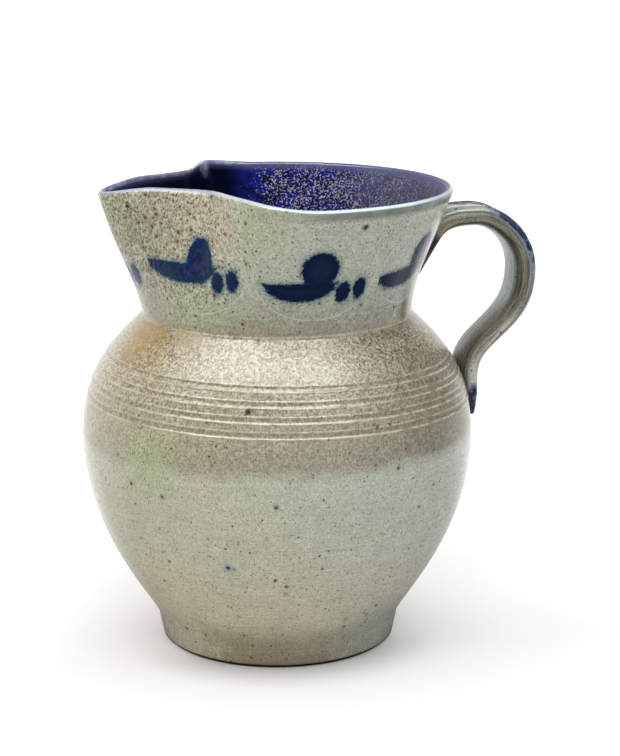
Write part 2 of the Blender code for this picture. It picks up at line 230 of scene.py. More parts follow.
def spinProfile(name, points):
    clearSelection()
    bpy.ops.mesh.primitive_plane_add(size=jug["lipWall"], location=(0.0, 0.0, 0.0))
    piece = bpy.context.object
    piece.name = name
    bpy.ops.object.mode_set(mode="EDIT")
    bpy.ops.mesh.select_all(action="SELECT")
    bpy.ops.mesh.merge(type="CENTER")
    bpy.ops.transform.translate(value=(points[0][0], 0.0, points[0][1]))
    for before, after in zip(points, points[1:]):
        step = (after[0] - before[0], 0.0, after[1] - before[1])
        bpy.ops.mesh.extrude_region_move(TRANSFORM_OT_translate={"value": step})
    bpy.ops.mesh.select_all(action="SELECT")
    angle = math.radians(fullTurn)
    bpy.ops.mesh.spin(steps=jug["turnSteps"], angle=angle, center=(0, 0, 0), axis=(0, 0, 1))
    bpy.ops.mesh.select_all(action="SELECT")
    bpy.ops.mesh.remove_doubles(threshold=jug["mergeDistance"])
    bpy.ops.mesh.normals_make_consistent(inside=False)
    bpy.ops.object.mode_set(mode="OBJECT")
    return piece


def spoutPlan():  # half of the lip's plan from the tip to the round rim, as (along the spout, across)
    tip = Vector((jug["rimRadius"] + spout["reach"], 0.0))
    throat = Vector((spout["throatOffset"], spout["throatHalfWidth"]))
    join = heading(spout["joinTurn"]) * jug["rimRadius"]
    through = heading(spout["throatTurn"])
    leave = Vector((0.0, spout["tipRound"]))
    beak = bend(tip, leave, throat, through * spout["throatPullBefore"], jug["bendSteps"])
    leave = through * spout["throatPullAfter"]
    arrive = heading(spout["joinTurn"] + quarterTurn) * spout["joinPull"]
    side = bend(throat, leave, join, arrive, jug["bendSteps"])
    return np.array(beak + side[1:])


plan = spoutPlan()
planShare = runLength(plan)
planShare /= planShare[-1]


def pulledOutside(turn, height):  # where the outside goes, as (along the spout, across)
    ring = np.stack([np.cos(turn), np.sin(turn)], axis=1)
    rise = neckShare(height)
    share = np.abs(turn) / math.radians(spout["joinTurn"])
    lip = np.stack([np.interp(share, planShare, plan[:, 0]), np.interp(share, planShare, plan[:, 1])], axis=1)
    lip[:, 1] *= np.sign(turn)
    shift = (lip - ring * jug["rimRadius"]) * (rise ** spout["fade"])[:, None]
    ridgeShare = np.clip(np.abs(turn) / math.radians(spout["ridgeTurn"]), 0.0, 1.0)
    ridge = spout["ridge"] * bow(rise) * np.cos(ridgeShare * math.pi / 2) ** 2
    plain = ring * outerRadius(height)[:, None]
    pulled = plain + shift + ring * ridge[:, None]
    return np.where((share < 1.0)[:, None], pulled, plain)


def lipLift(share):
    rise = spout["lipRise"] * (1.0 - easeStep(spout["riseShare"], 1.0, share))
    droop = spout["tipDroop"] * (1.0 - easeStep(0.0, spout["droopShare"], share))
    return np.where(share < 1.0, rise - droop, 0.0)


def toolRelief(around, height):  # height of the tool marks over the outside, and the groove and burr shares
    fromStart = np.degrees(around) - toolMarks["spiralStart"]
    turned = np.mod(fromStart, fullTurn) / fullTurn
    way = lengthAt(height)
    groove = np.zeros_like(height)
    burr = np.zeros_like(height)
    relief = np.zeros_like(height)
    for lap in range(math.ceil(toolMarks["spiralTurns"])):
        laps = lap + turned
        middle = lengthAt(toolMarks["spiralTop"] - toolMarks["spiralPitch"] * laps)
        fade = easeStep(0.0, toolMarks["spiralFade"], laps * fullTurn)
        fade = fade * easeStep(0.0, toolMarks["spiralFade"], (toolMarks["spiralTurns"] - laps) * fullTurn)
        cut = bump(way - middle, toolMarks["grooveWidth"]) * fade
        lower = bump(way - middle + toolMarks["burrDrop"], toolMarks["burrWidth"]) * fade
        upper = bump(way - middle - toolMarks["burrRise"], toolMarks["burrWidth"]) * fade
        relief += toolMarks["lowerBurr"] * lower + toolMarks["upperBurr"] * upper
        relief -= toolMarks["grooveDepth"] * cut
        groove = np.maximum(groove, cut)
        burr = np.maximum(burr, np.maximum(lower, upper * toolMarks["upperTint"]))
    drawn = easeStep(*toolMarks["rimLineEnds"], np.cos(around))
    fromLine = height - jug["rimHeight"] + toolMarks["rimLineDrop"]
    rimLine = bump(fromLine, toolMarks["rimLineWidth"]) * drawn
    rimBurr = bump(fromLine + toolMarks["rimBurrDrop"], toolMarks["burrWidth"]) * drawn
    ridgeWay = lengthAt(jug["neckHeight"] - toolMarks["neckRidgeDrop"])
    neckRidge = bump(way - ridgeWay, toolMarks["neckRidgeWidth"])
    relief += toolMarks["rimBurr"] * rimBurr + toolMarks["neckRidge"] * neckRidge
    relief -= toolMarks["rimLineDepth"] * rimLine
    groove = np.maximum(groove, rimLine * toolMarks["rimLineTint"])
    burr = np.maximum(burr, rimBurr * toolMarks["rimBurrTint"])
    return relief, groove, np.maximum(burr, neckRidge * toolMarks["neckRidgeTint"])


def fingerRidges(around, height):  # the spiral that the thrower's fingers leave inside
    ridges = np.sin(2 * math.pi * height / toolMarks["fingerPitch"] - around)
    fade = easeStep(0.0, jug["bowlRise"], height - jug["floor"])
    fade = fade * easeStep(*toolMarks["fingerEnd"], jug["rimHeight"] - height)
    return toolMarks["fingerDepth"] * ridges * fade


def wallWobble(around, height):  # how far a hand-thrown wall sinks in from the true round
    sunk = toolMarks["inset"]
    share = toolMarks["wobble"] / len(toolMarks["wobbleWaves"])
    for bumps, drift, start in toolMarks["wobbleWaves"]:
        sunk = sunk + share * (1.0 - np.sin(bumps * around + drift * height + start)) / 2
    return sunk * easeStep(0.0, jug["footHeight"], height)


def thrownBody():
    body = spinProfile("creamer_body", profilePoints())
    print("body spun:", len(body.data.vertices), "points")
    points = readPoints(body)
    radius = np.hypot(points[:, 0], points[:, 1])
    height = np.clip(points[:, 2], 0.0, jug["rimHeight"])
    around = np.arctan2(points[:, 1], points[:, 0])
    depth = outerRadius(height) - radius
    overFloor = points[:, 2] > jug["floor"] / 2
    wallShare = np.where(overFloor, np.clip(depth / wallAt(height), 0.0, 1.0), 0.0)
    inside = wallShare > jug["insideFrom"]
    # tool marks outside, finger ridges inside, and the slight wobble of a hand-thrown wall
    relief, groove, burr = toolRelief(around, height)
    relief = np.where(inside, 0.0, relief)
    depth += np.where(inside, fingerRidges(around, height), 0.0)
    depth += wallWobble(around, height)
    # spout
    turn = np.arctan2(-points[:, 1], -points[:, 0])
    share = np.abs(turn) / math.radians(spout["joinTurn"])
    nearLip = easeStep(spout["lipThinReach"], 0.0, jug["rimHeight"] - height)
    depth *= 1.0 - spout["lipThin"] * nearLip * np.clip(1.0 - share, 0.0, 1.0)
    nudge = math.radians(spout["nudge"])
    along = pulledOutside(turn + nudge, height) - pulledOutside(turn - nudge, height)
    outwards = np.stack([along[:, 1], -along[:, 0]], axis=1)
    outwards /= np.linalg.norm(outwards, axis=1)[:, None]
    spots = pulledOutside(turn, height) - outwards * (depth - relief)[:, None]
    onAxis = radius < jug["mergeDistance"]
    flatBase = ~overFloor & (points[:, 2] < jug["mergeDistance"])
    keep = onAxis | flatBase | (overFloor & (points[:, 2] < jug["floor"] + jug["mergeDistance"]))
    moved = points.copy()
    moved[:, 0] = np.where(keep, points[:, 0], -spots[:, 0])
    moved[:, 1] = np.where(keep, points[:, 1], -spots[:, 1])
    moved[:, 2] += lipLift(share) * neckShare(height) ** spout["fade"]
    writePoints(body, moved)
    paintPoints(body, "rawHeight", points[:, 2])
    paintPoints(body, "wallShare", wallShare)
    paintPoints(body, "grooveShare", np.where(inside, 0.0, groove))
    paintPoints(body, "burrShare", np.where(inside, 0.0, burr))
    pick(body)
    bpy.ops.object.shade_smooth()
    return body


body = thrownBody()
print("spout pulled, tool marks cut")


# the pulled strap handle: knots of its middle line, from the neck out and back to the shoulder
strap = {
    "width": 0.0132, "thickness": 0.0060, "squareness": 2.6,
    "backGroove": 0.0006, "edgeGroove": 0.0007, "grooveSharpness": 16,
    "rootDrop": 0.0185, "rootBury": 0.0100, "rootHeading": 42.0,
    "topDrop": 0.0088, "topOffset": 0.0134, "reach": 0.01445, "gripShare": 0.55,
    "crookDrop": 0.0097, "crookStand": 0.0111, "crookHeading": -137.0,
    "tailDrop": 0.0291, "tailSink": 0.0010, "tailHeading": -108.0,
    "pulls": ((0.58, 0.58), (0.525, 0.28), (0.46, 0.42), (0.45, 0.48), (0.44, 0.44)),
    "scales": (1.0, 1.0, 1.1, 1.0, 0.9),
    "sectionPoints": 44, "stations": 26, "sink": 0.0005, "smear": 0.20, "smearReach": 0.0016,
    "inset": 0.00005,
}


def strapKnots():
    rootHeight = jug["rimHeight"] - strap["rootDrop"]
    rootRadius = float(outerRadius(rootHeight))
    root = Vector((rootRadius, rootHeight)) - heading(strap["rootHeading"]) * strap["rootBury"]
    top = Vector((rootRadius + strap["topOffset"], jug["rimHeight"] - strap["topDrop"]))
    crookHeight = jug["neckHeight"] - strap["crookDrop"]
    crook = Vector((float(outerRadius(crookHeight)) + strap["crookStand"], crookHeight))
    gripHeight = crookHeight + (top.y - crookHeight) * strap["gripShare"]
    grip = Vector((jug["bellyRadius"] + strap["reach"], gripHeight))
    tailHeight = jug["neckHeight"] - strap["tailDrop"]
    tail = Vector((float(outerRadius(tailHeight)) - strap["tailSink"], tailHeight))
    headings = (strap["rootHeading"], 0.0, -quarterTurn, strap["crookHeading"], strap["tailHeading"])
    return list(zip((root, top, grip, crook, tail), headings, strap["pulls"], strap["scales"]))


def strapPath():  # middle line (x, z), heading in radians and scale at each station
    knots = strapKnots()
    line = []
    scales = []
    for (start, turn, pulls, scale), (end, endTurn, endPulls, endScale) in zip(knots, knots[1:]):
        way = (end - start).length
        leave = heading(turn) * pulls[1] * way
        stretch = bend(start, leave, end, heading(endTurn) * endPulls[0] * way, strap["stations"])
        ease = easeStep(0.0, 1.0, np.linspace(0.0, 1.0, strap["stations"]))
        first = 1 if line else 0
        line += stretch[first:]
        scales += list(scale + (endScale - scale) * ease)[first:]
    line = np.array(line)
    slope = np.gradient(line, axis=0)
    return line, np.unwrap(np.arctan2(slope[:, 1], slope[:, 0])), np.array(scales)


def strapSection():  # (across, outwards) of a flattened oval with hollows along its edges and its back
    turn = np.linspace(0.0, 2 * math.pi, strap["sectionPoints"], endpoint=False)
    power = 2.0 / strap["squareness"]
    across = np.sign(np.cos(turn)) * np.abs(np.cos(turn)) ** power
    outwards = np.sign(np.sin(turn)) * np.abs(np.sin(turn)) ** power
    edge = strap["edgeGroove"] * np.abs(np.cos(turn)) ** strap["grooveSharpness"]
    back = strap["backGroove"] * np.clip(np.sin(turn), 0.0, 1.0) ** strap["grooveSharpness"]
    width = across * strap["width"] / 2 - np.sign(across) * edge
    depth = outwards * (strap["thickness"] / 2 - strap["inset"]) - back
    return width, depth


def sweepStrap(line, headings, scales):
    width, depth = strapSection()
    clearSelection()
    radius = strap["width"] / 2
    bpy.ops.mesh.primitive_circle_add(vertices=strap["sectionPoints"], radius=radius, location=(0, 0, 0))
    handle = bpy.context.object
    handle.name = "strap_handle"
    normal = np.array([-math.sin(headings[0]), math.cos(headings[0])])
    ring = np.stack([line[0, 0] + normal[0] * depth, width, line[0, 1] + normal[1] * depth], axis=1)
    writePoints(handle, ring)
    bpy.ops.object.mode_set(mode="EDIT")
    bpy.ops.mesh.select_all(action="SELECT")
    for before, after in zip(range(len(line)), range(1, len(line))):
        step = line[after] - line[before]
        middle = (line[after, 0], 0.0, line[after, 1])
        turned = headings[after] - headings[before]
        grown = scales[after] / scales[before]
        bpy.ops.mesh.extrude_region_move(TRANSFORM_OT_translate={"value": (step[0], 0.0, step[1])})
        bpy.ops.transform.rotate(value=turned, orient_axis="Y", center_override=middle)
        bpy.ops.transform.resize(value=(grown, grown, grown), center_override=middle)
    bpy.ops.mesh.edge_face_add()
    bpy.ops.mesh.select_all(action="DESELECT")
    bpy.ops.mesh.select_non_manifold()
    bpy.ops.mesh.edge_face_add()
    bpy.ops.mesh.select_all(action="SELECT")
    bpy.ops.mesh.normals_make_consistent(inside=False)
    bpy.ops.object.mode_set(mode="OBJECT")
    applyModifier(handle, "SUBSURF", levels=1, render_levels=1)
    return handle


def pulledHandle():
    line, headings, scales = strapPath()
    handle = sweepStrap(line, headings, scales)
    # nearest station, the smear of slip where the strap meets the body, and the seats just under its skin
    points = readPoints(handle)
    gaps = (points[:, None, 0] - line[None, :, 0]) ** 2 + (points[:, None, 2] - line[None, :, 1]) ** 2
    nearest = np.argmin(gaps, axis=1)
    middles = np.stack([line[nearest, 0], np.zeros(len(points)), line[nearest, 1]], axis=1)
    away = points - middles
    normals = np.stack([-np.sin(headings), np.cos(headings)], axis=1)[nearest]
    outwards = away[:, 0] * normals[:, 0] + away[:, 2] * normals[:, 1]
    clear = np.hypot(points[:, 0], points[:, 1]) - outerRadius(points[:, 2])
    joinShare = np.exp(-np.clip(clear, 0.0, None) / strap["smearReach"])
    points = middles + away * (1.0 + strap["smear"] * joinShare)[:, None]
    radius = np.hypot(points[:, 0], points[:, 1])
    least = outerRadius(points[:, 2]) - strap["sink"]
    points[:, :2] *= np.maximum(1.0, least / radius)[:, None]
    writePoints(handle, points)
    paintPoints(handle, "along", runLength(line)[nearest])
    paintPoints(handle, "across", away[:, 1] / (strap["width"] / 2))
    paintPoints(handle, "outwards", outwards / (strap["thickness"] / 2))
    paintPoints(handle, "joinShare", joinShare)
    pick(handle)
    bpy.ops.object.shade_smooth()
    return handle


handle = pulledHandle()
print("handle pulled:", len(handle.data.vertices), "points")


# camera, as the photograph was taken
view = {
    "distance": 0.52531, "height": 0.19481, "turn": -11.0, "yaw": 0.921, "pitch": 13.591,
    "lens": 99.77, "sensor": 36.0, "nearest": 0.01,
}


def addCamera():
    turn = math.radians(view["turn"])
    place = (view["distance"] * math.sin(turn), -view["distance"] * math.cos(turn), view["height"])
    aim = (math.radians(quarterTurn - view["pitch"]), 0.0, math.radians(view["turn"] - view["yaw"]))
    bpy.ops.object.camera_add(location=place, rotation=aim)
    camera = bpy.context.object
    camera.data.sensor_width = view["sensor"]
    camera.data.lens = view["lens"]
    camera.data.clip_start = view["nearest"]
    bpy.context.scene.camera = camera


addCamera()


# small helpers for shader nodes; colours are red, green and blue
mixSockets = {"share": 0, "under": 6, "over": 7, "result": 2}
noiseMiddle = 0.5


def feed(tree, socket, value):  # a link from another node, or a fixed value
    if isinstance(value, bpy.types.NodeSocket):
        tree.links.new(value, socket)
    elif socket.type == "RGBA":
        socket.default_value = (*value, 1.0)
    else:
        socket.default_value = value


def addNode(tree, kind, feeds=None, **settings):
    node = tree.nodes.new(kind)
    for name, value in settings.items():
        setattr(node, name, value)
    for name, value in (feeds or {}).items():
        feed(tree, node.inputs[name], value)
    return node


def calc(tree, operation, *values):
    node = addNode(tree, "ShaderNodeMath", operation=operation)
    for socket, value in zip(node.inputs, values):
        feed(tree, socket, value)
    return node.outputs[0]


def times(tree, product, *values):
    for value in values:
        product = calc(tree, "MULTIPLY", product, value)
    return product


def rest(tree, share):  # what a share leaves of the whole
    return calc(tree, "SUBTRACT", 1.0, share)


def ramp(tree, value, low, high, lowTo=0.0, highTo=1.0, kind="SMOOTHSTEP"):  # a step from lowTo to highTo
    feeds = {"Value": value, "From Min": low, "From Max": high, "To Min": lowTo, "To Max": highTo}
    return addNode(tree, "ShaderNodeMapRange", feeds, interpolation_type=kind).outputs["Result"]


def blend(tree, share, under, over, mode="MIX"):
    node = addNode(tree, "ShaderNodeMix", data_type="RGBA", blend_type=mode)
    feed(tree, node.inputs[mixSockets["share"]], share)
    feed(tree, node.inputs[mixSockets["under"]], under)
    feed(tree, node.inputs[mixSockets["over"]], over)
    return node.outputs[mixSockets["result"]]


def layer(tree, under, over, *shares, mode="MIX"):  # one colour over another, by the product of shares
    return blend(tree, times(tree, *shares), under, over, mode)


def darken(tree, colour, shade, share=1.0):  # a grey factor over a colour
    grey = addNode(tree, "ShaderNodeCombineXYZ", {"X": shade, "Y": shade, "Z": shade}).outputs["Vector"]
    return blend(tree, share, colour, grey, "MULTIPLY")


def noise(tree, vector, scale, detail=2.0, roughness=0.5):
    feeds = {"Vector": vector, "Scale": scale, "Detail": detail, "Roughness": roughness}
    return addNode(tree, "ShaderNodeTexNoise", feeds).outputs[0]


def swing(tree, vector, *settings):  # noise to both sides of zero
    return calc(tree, "SUBTRACT", noise(tree, vector, *settings), noiseMiddle)


def stretched(tree, vector, factors):
    node = addNode(tree, "ShaderNodeVectorMath", {0: vector, 1: factors}, operation="MULTIPLY")
    return node.outputs["Vector"]


def attribute(tree, name):
    return addNode(tree, "ShaderNodeAttribute", attribute_name=name).outputs["Fac"]


def colourStops(tree, value, stops):  # colours along a value from 0 to 1
    node = addNode(tree, "ShaderNodeValToRGB", {"Fac": value})
    marks = node.color_ramp.elements
    while len(marks) < len(stops):
        marks.new(1.0)
    for mark, (place, colour) in zip(marks, stops):
        mark.position = place
        mark.color = (*colour, 1.0)
    return node.outputs["Color"]


def valueStops(tree, value, stops):  # values along a value from 0 to 1
    return colourStops(tree, value, [(place, (level, level, level)) for place, level in stops])


def newGroup(name, vectors, values, outputs):
    group = bpy.data.node_groups.new(name, "ShaderNodeTree")
    sockets = [(vector, "INPUT", "NodeSocketVector") for vector in vectors]
    sockets += [(value, "INPUT", "NodeSocketFloat") for value in values]
    sockets += [(output, "OUTPUT", "NodeSocketFloat") for output in outputs]
    for socketName, side, kind in sockets:
        group.interface.new_socket(name=socketName, in_out=side, socket_type=kind)
    return group, group.nodes.new("NodeGroupInput").outputs, group.nodes.new("NodeGroupOutput").inputs


def useGroup(tree, group, feeds):
    node = tree.nodes.new("ShaderNodeGroup")
    node.node_tree = group
    for name, value in feeds.items():
        feed(tree, node.inputs[name], value)
    return node.outputs


def newSurface(name, specular):
    surface = bpy.data.materials.new(name)
    surface.use_nodes = True
    shader = surface.node_tree.nodes["Principled BSDF"]
    shader.inputs["Specular IOR Level"].default_value = specular
    return surface, surface.node_tree, shader


# studio: a fill box that the glaze doesn't mirror, a long shine box for the mirrored light, a white room
studio = {
    "boxSize": (0.90, 0.42), "boxPlace": (-0.07, -0.29, 0.72), "boxPower": 2.6,
    "shineSize": (1.15, 0.38), "shinePlace": (-0.145, -0.180, 0.72), "shineTurn": -18.0, "shinePower": 27.5,
    "shineColour": (0.93, 0.97, 1.00), "white": (1.0, 1.0, 1.0),
    "roomLight": 0.80, "roomShown": 1.0, "roomFront": 0.03, "frontTurn": (0.25, 0.85),
    "roomBack": 1.8, "backTurn": (0.30, 0.90), "roomOver": 0.30, "overTurn": (0.10, 0.60),
    "roomSide": 0.75, "sideTurn": (0.35, 0.85),
    "floorSize": 12.0, "floorColour": (0.80, 0.80, 0.80), "floorGlow": (0.175, 0.50),
    "glowReach": (0.12, 0.6), "glowBehind": 0.14, "behindReach": (-0.025, 0.030),
    "contactShade": 0.15, "contactReach": (0.046, 0.031), "contactFront": (-0.006, -0.026),
    "floorMirrored": (0.12, 0.12, 0.12), "mirroredReach": (0.12, -0.04), "mirroredGlow": 0.7,
}


def addSoftBox(name, size, place, turn, power):
    bpy.ops.object.light_add(type="AREA", location=place, rotation=turn)
    lamp = bpy.context.object
    lamp.name = name
    lamp.data.shape = "RECTANGLE"
    lamp.data.size, lamp.data.size_y = size
    lamp.data.energy = power
    return lamp


def addLamps():
    aim = Vector((0.0, 0.0, jug["bellyHeight"])) - Vector(studio["boxPlace"])
    turn = aim.to_track_quat("-Z", "Y").to_euler()
    fill = addSoftBox("fill_box", studio["boxSize"], studio["boxPlace"], turn, studio["boxPower"])
    fill.visible_glossy = False
    turn = (0.0, 0.0, math.radians(studio["shineTurn"]))
    shine = addSoftBox("shine_box", studio["shineSize"], studio["shinePlace"], turn, studio["shinePower"])
    shine.visible_diffuse = False
    shine.data.color = studio["shineColour"]


def addRoom():
    world = bpy.data.worlds.new("studio")
    bpy.context.scene.world = world
    world.use_nodes = True
    tree = world.node_tree
    ray = addNode(tree, "ShaderNodeLightPath").outputs
    gaze = addNode(tree, "ShaderNodeTexCoord").outputs["Generated"]
    parts = addNode(tree, "ShaderNodeSeparateXYZ", {"Vector": gaze}).outputs
    # what the glaze mirrors: a dark front, a bright wall behind the jug, a dim ceiling, a dimmer right side
    turns = (
        ("Y", studio["frontTurn"], (studio["roomFront"], studio["roomShown"])),
        ("Y", studio["backTurn"], (1.0, studio["roomBack"])),
        ("Z", studio["overTurn"], (1.0, studio["roomOver"])),
        ("X", studio["sideTurn"], (1.0, studio["roomSide"])),
    )
    shares = [ramp(tree, parts[axis], *reach, *levels, kind="LINEAR") for axis, reach, levels in turns]
    feeds = {"Factor": ray["Is Glossy Ray"], "A": studio["roomLight"], "B": times(tree, *shares)}
    level = addNode(tree, "ShaderNodeMix", feeds).outputs["Result"]
    feeds = {"Factor": ray["Is Camera Ray"], "A": level, "B": studio["roomShown"]}
    shown = addNode(tree, "ShaderNodeMix", feeds).outputs["Result"]
    feed(tree, tree.nodes["Background"].inputs["Strength"], shown)
    feed(tree, tree.nodes["Background"].inputs["Color"], studio["white"])


def addFloor():
    clearSelection()
    bpy.ops.mesh.primitive_plane_add(size=studio["floorSize"], location=(0.0, 0.0, 0.0))
    floor = bpy.context.object
    floor.name = "floor"
    paper, tree, shader = newSurface("floor_paper", 0.0)
    shader.inputs["Roughness"].default_value = 1.0
    ray = addNode(tree, "ShaderNodeLightPath").outputs
    place = addNode(tree, "ShaderNodeTexCoord").outputs["Object"]
    depth = addNode(tree, "ShaderNodeSeparateXYZ", {"Vector": place}).outputs["Y"]
    away = addNode(tree, "ShaderNodeVectorMath", {0: place}, operation="LENGTH").outputs["Value"]
    # for what the glaze mirrors, dark in front and glowing behind
    dark = times(tree, ramp(tree, depth, *studio["mirroredReach"]), ray["Is Glossy Ray"])
    feed(tree, shader.inputs["Base Color"], blend(tree, dark, studio["floorColour"], studio["floorMirrored"]))
    bright = calc(tree, "SUBTRACT", ray["Is Glossy Ray"], dark)
    # for the camera, white with distance and shaded where the foot touches
    glow = ramp(tree, away, *studio["glowReach"], *studio["floorGlow"])
    glow = calc(tree, "ADD", glow, ramp(tree, depth, *studio["behindReach"], 0.0, studio["glowBehind"]))
    contact = ramp(tree, away, *studio["contactReach"], 0.0, studio["contactShade"])
    contact = times(tree, contact, ramp(tree, depth, *studio["contactFront"]))
    glow = times(tree, calc(tree, "SUBTRACT", glow, contact), ray["Is Camera Ray"])
    glow = calc(tree, "MULTIPLY_ADD", bright, studio["mirroredGlow"], glow)
    feed(tree, shader.inputs["Emission Strength"], glow)
    feed(tree, shader.inputs["Emission Color"], studio["white"])
    floor.data.materials.append(paper)


addLamps()
addRoom()
addFloor()
bpy.context.scene.view_settings.view_transform = "Standard"
print("camera and studio set")


# the skin of a salt glaze: fine dimples, a mottle of thick and thin glaze, and grain
peel = {
    "dimples": (2100.0, 3.0, 0.6), "mottle": (210.0, 4.0, 0.6),  # noise: scale, detail, roughness
    "grain": (2600.0, 1.0, 0.6),
    "dimpleStretch": (1.0, 1.0, 0.65), "cellScale": 1200.0, "cellShare": 0.35,
}


def makeSaltPeel():
    group, given, sent = newGroup("saltPeel", ("Vector",), (), ("Height", "Mottle", "Grain"))
    place = given["Vector"]
    dimples = noise(group, stretched(group, place, peel["dimpleStretch"]), *peel["dimples"])
    feeds = {"Vector": place, "Scale": peel["cellScale"]}
    cells = addNode(group, "ShaderNodeTexVoronoi", feeds, feature="SMOOTH_F1").outputs["Distance"]
    feed(group, sent["Height"], calc(group, "MULTIPLY_ADD", cells, peel["cellShare"], dimples))
    feed(group, sent["Mottle"], noise(group, place, *peel["mottle"]))
    feed(group, sent["Grain"], noise(group, place, *peel["grain"]))
    return group


# iron specks that burn through the glaze: how much their size varies, and their ragged, soft edge
speckShape = {"least": 0.5, "spread": 0.7, "raggedScale": 2400.0, "ragged": 0.9, "core": 0.45}


def makeIronSpecks():
    group, given, sent = newGroup("ironSpecks", ("Vector",), ("Scale", "Share", "Size"), ("Mask",))
    cells = addNode(group, "ShaderNodeTexVoronoi", {"Vector": given["Vector"], "Scale": given["Scale"]})
    chance = addNode(group, "ShaderNodeSeparateColor", {"Color": cells.outputs["Color"]}).outputs
    present = calc(group, "LESS_THAN", chance["Red"], given["Share"])
    size = calc(group, "MULTIPLY_ADD", chance["Green"], speckShape["spread"], speckShape["least"])
    radius = times(group, given["Size"], size)
    ragged = swing(group, given["Vector"], speckShape["raggedScale"])
    ragged = times(group, ragged, speckShape["ragged"], radius)
    near = calc(group, "ADD", cells.outputs["Distance"], ragged)
    spot = ramp(group, near, radius, times(group, radius, speckShape["core"]))
    feed(group, sent["Mask"], times(group, spot, present))
    return group


# a patch of another colour around a spot, with a soft ragged edge
patchEdge = {"cloud": (260.0, 3.0, 0.6), "ragged": 1.2, "core": 0.15}


def makeTintPatch():
    group, given, sent = newGroup("tintPatch", ("Vector", "Spot"), ("Reach",), ("Mask",))
    feeds = {0: given["Vector"], 1: given["Spot"]}
    gap = addNode(group, "ShaderNodeVectorMath", feeds, operation="DISTANCE").outputs["Value"]
    ragged = times(group, swing(group, given["Vector"], *patchEdge["cloud"]), patchEdge["ragged"])
    share = calc(group, "ADD", calc(group, "DIVIDE", gap, given["Reach"]), ragged)
    feed(group, sent["Mask"], ramp(group, share, 1.0, patchEdge["core"]))
    return group


# the brushed band on the neck: a comma and two dots, repeated around, in a loop scratched with a point
brush = {
    "repeats": 7, "firstTurn": -85.5, "height": 0.1029, "neckArc": 0.038, "numberSlack": 0.5,
    "headRadius": 0.0046, "tailPlace": (-0.0045, -0.0032), "tailSize": (0.0092, 0.0048), "tailTop": -0.0032,
    "join": 0.0012, "dots": (((0.0066, -0.0059), (0.0021, 0.0026)), ((0.0112, -0.0053), (0.0019, 0.0027))),
    "ragged": (((900.0, 2.0, 0.6), 0.0012), ((2600.0, 1.0, 0.5), 0.0009)),  # noise and how far it reaches
    "fringe": 0.0016, "edge": 0.00035, "core": (-0.0008, -0.0030),
    "loopPlace": (-0.0005, -0.0020), "loopSize": (0.0158, 0.0108), "loopLine": 0.00030,
    "loopBreaks": 90.0, "loopDrawn": (0.40, 0.52),
}

# each motif by hand: grown, moved, lifted, head taller, tail longer, tail higher, dots higher, tilt
brushHands = (
    (1.00, 0.0000, 0.0000, 1.00, 1.00, 0.0000, 0.0000, 0.00),
    (0.97, -0.0015, 0.0012, 1.03, 1.22, 0.0004, 0.0006, 0.10),
    (1.05, -0.0006, -0.0004, 0.95, 1.00, 0.0000, 0.0003, 0.04),
    (0.95, 0.0008, 0.0002, 1.08, 1.15, 0.0008, 0.0000, -0.03),
    (1.04, -0.0004, 0.0007, 1.00, 0.95, 0.0002, 0.0005, 0.02),
    (0.98, 0.0003, -0.0003, 1.04, 1.10, 0.0006, 0.0002, -0.02),
    (1.00, 0.0008, 0.0006, 1.20, 1.33, 0.0022, 0.0014, 0.00),
)


def ellipseGap(tree, across, up, place, size):  # about how far a point lies outside an ellipse
    x = calc(tree, "DIVIDE", calc(tree, "SUBTRACT", across, place[0]), size[0])
    y = calc(tree, "DIVIDE", calc(tree, "SUBTRACT", up, place[1]), size[1])
    reach = calc(tree, "SQRT", calc(tree, "ADD", times(tree, x, x), times(tree, y, y)))
    return times(tree, calc(tree, "SUBTRACT", reach, 1.0), min(size))


def handValue(tree, which, values):  # the value of the motif with this number
    total = 0.0
    for number, value in enumerate(values):
        mine = calc(tree, "COMPARE", which, float(number), brush["numberSlack"])
        total = calc(tree, "MULTIPLY_ADD", mine, value, total)
    return total


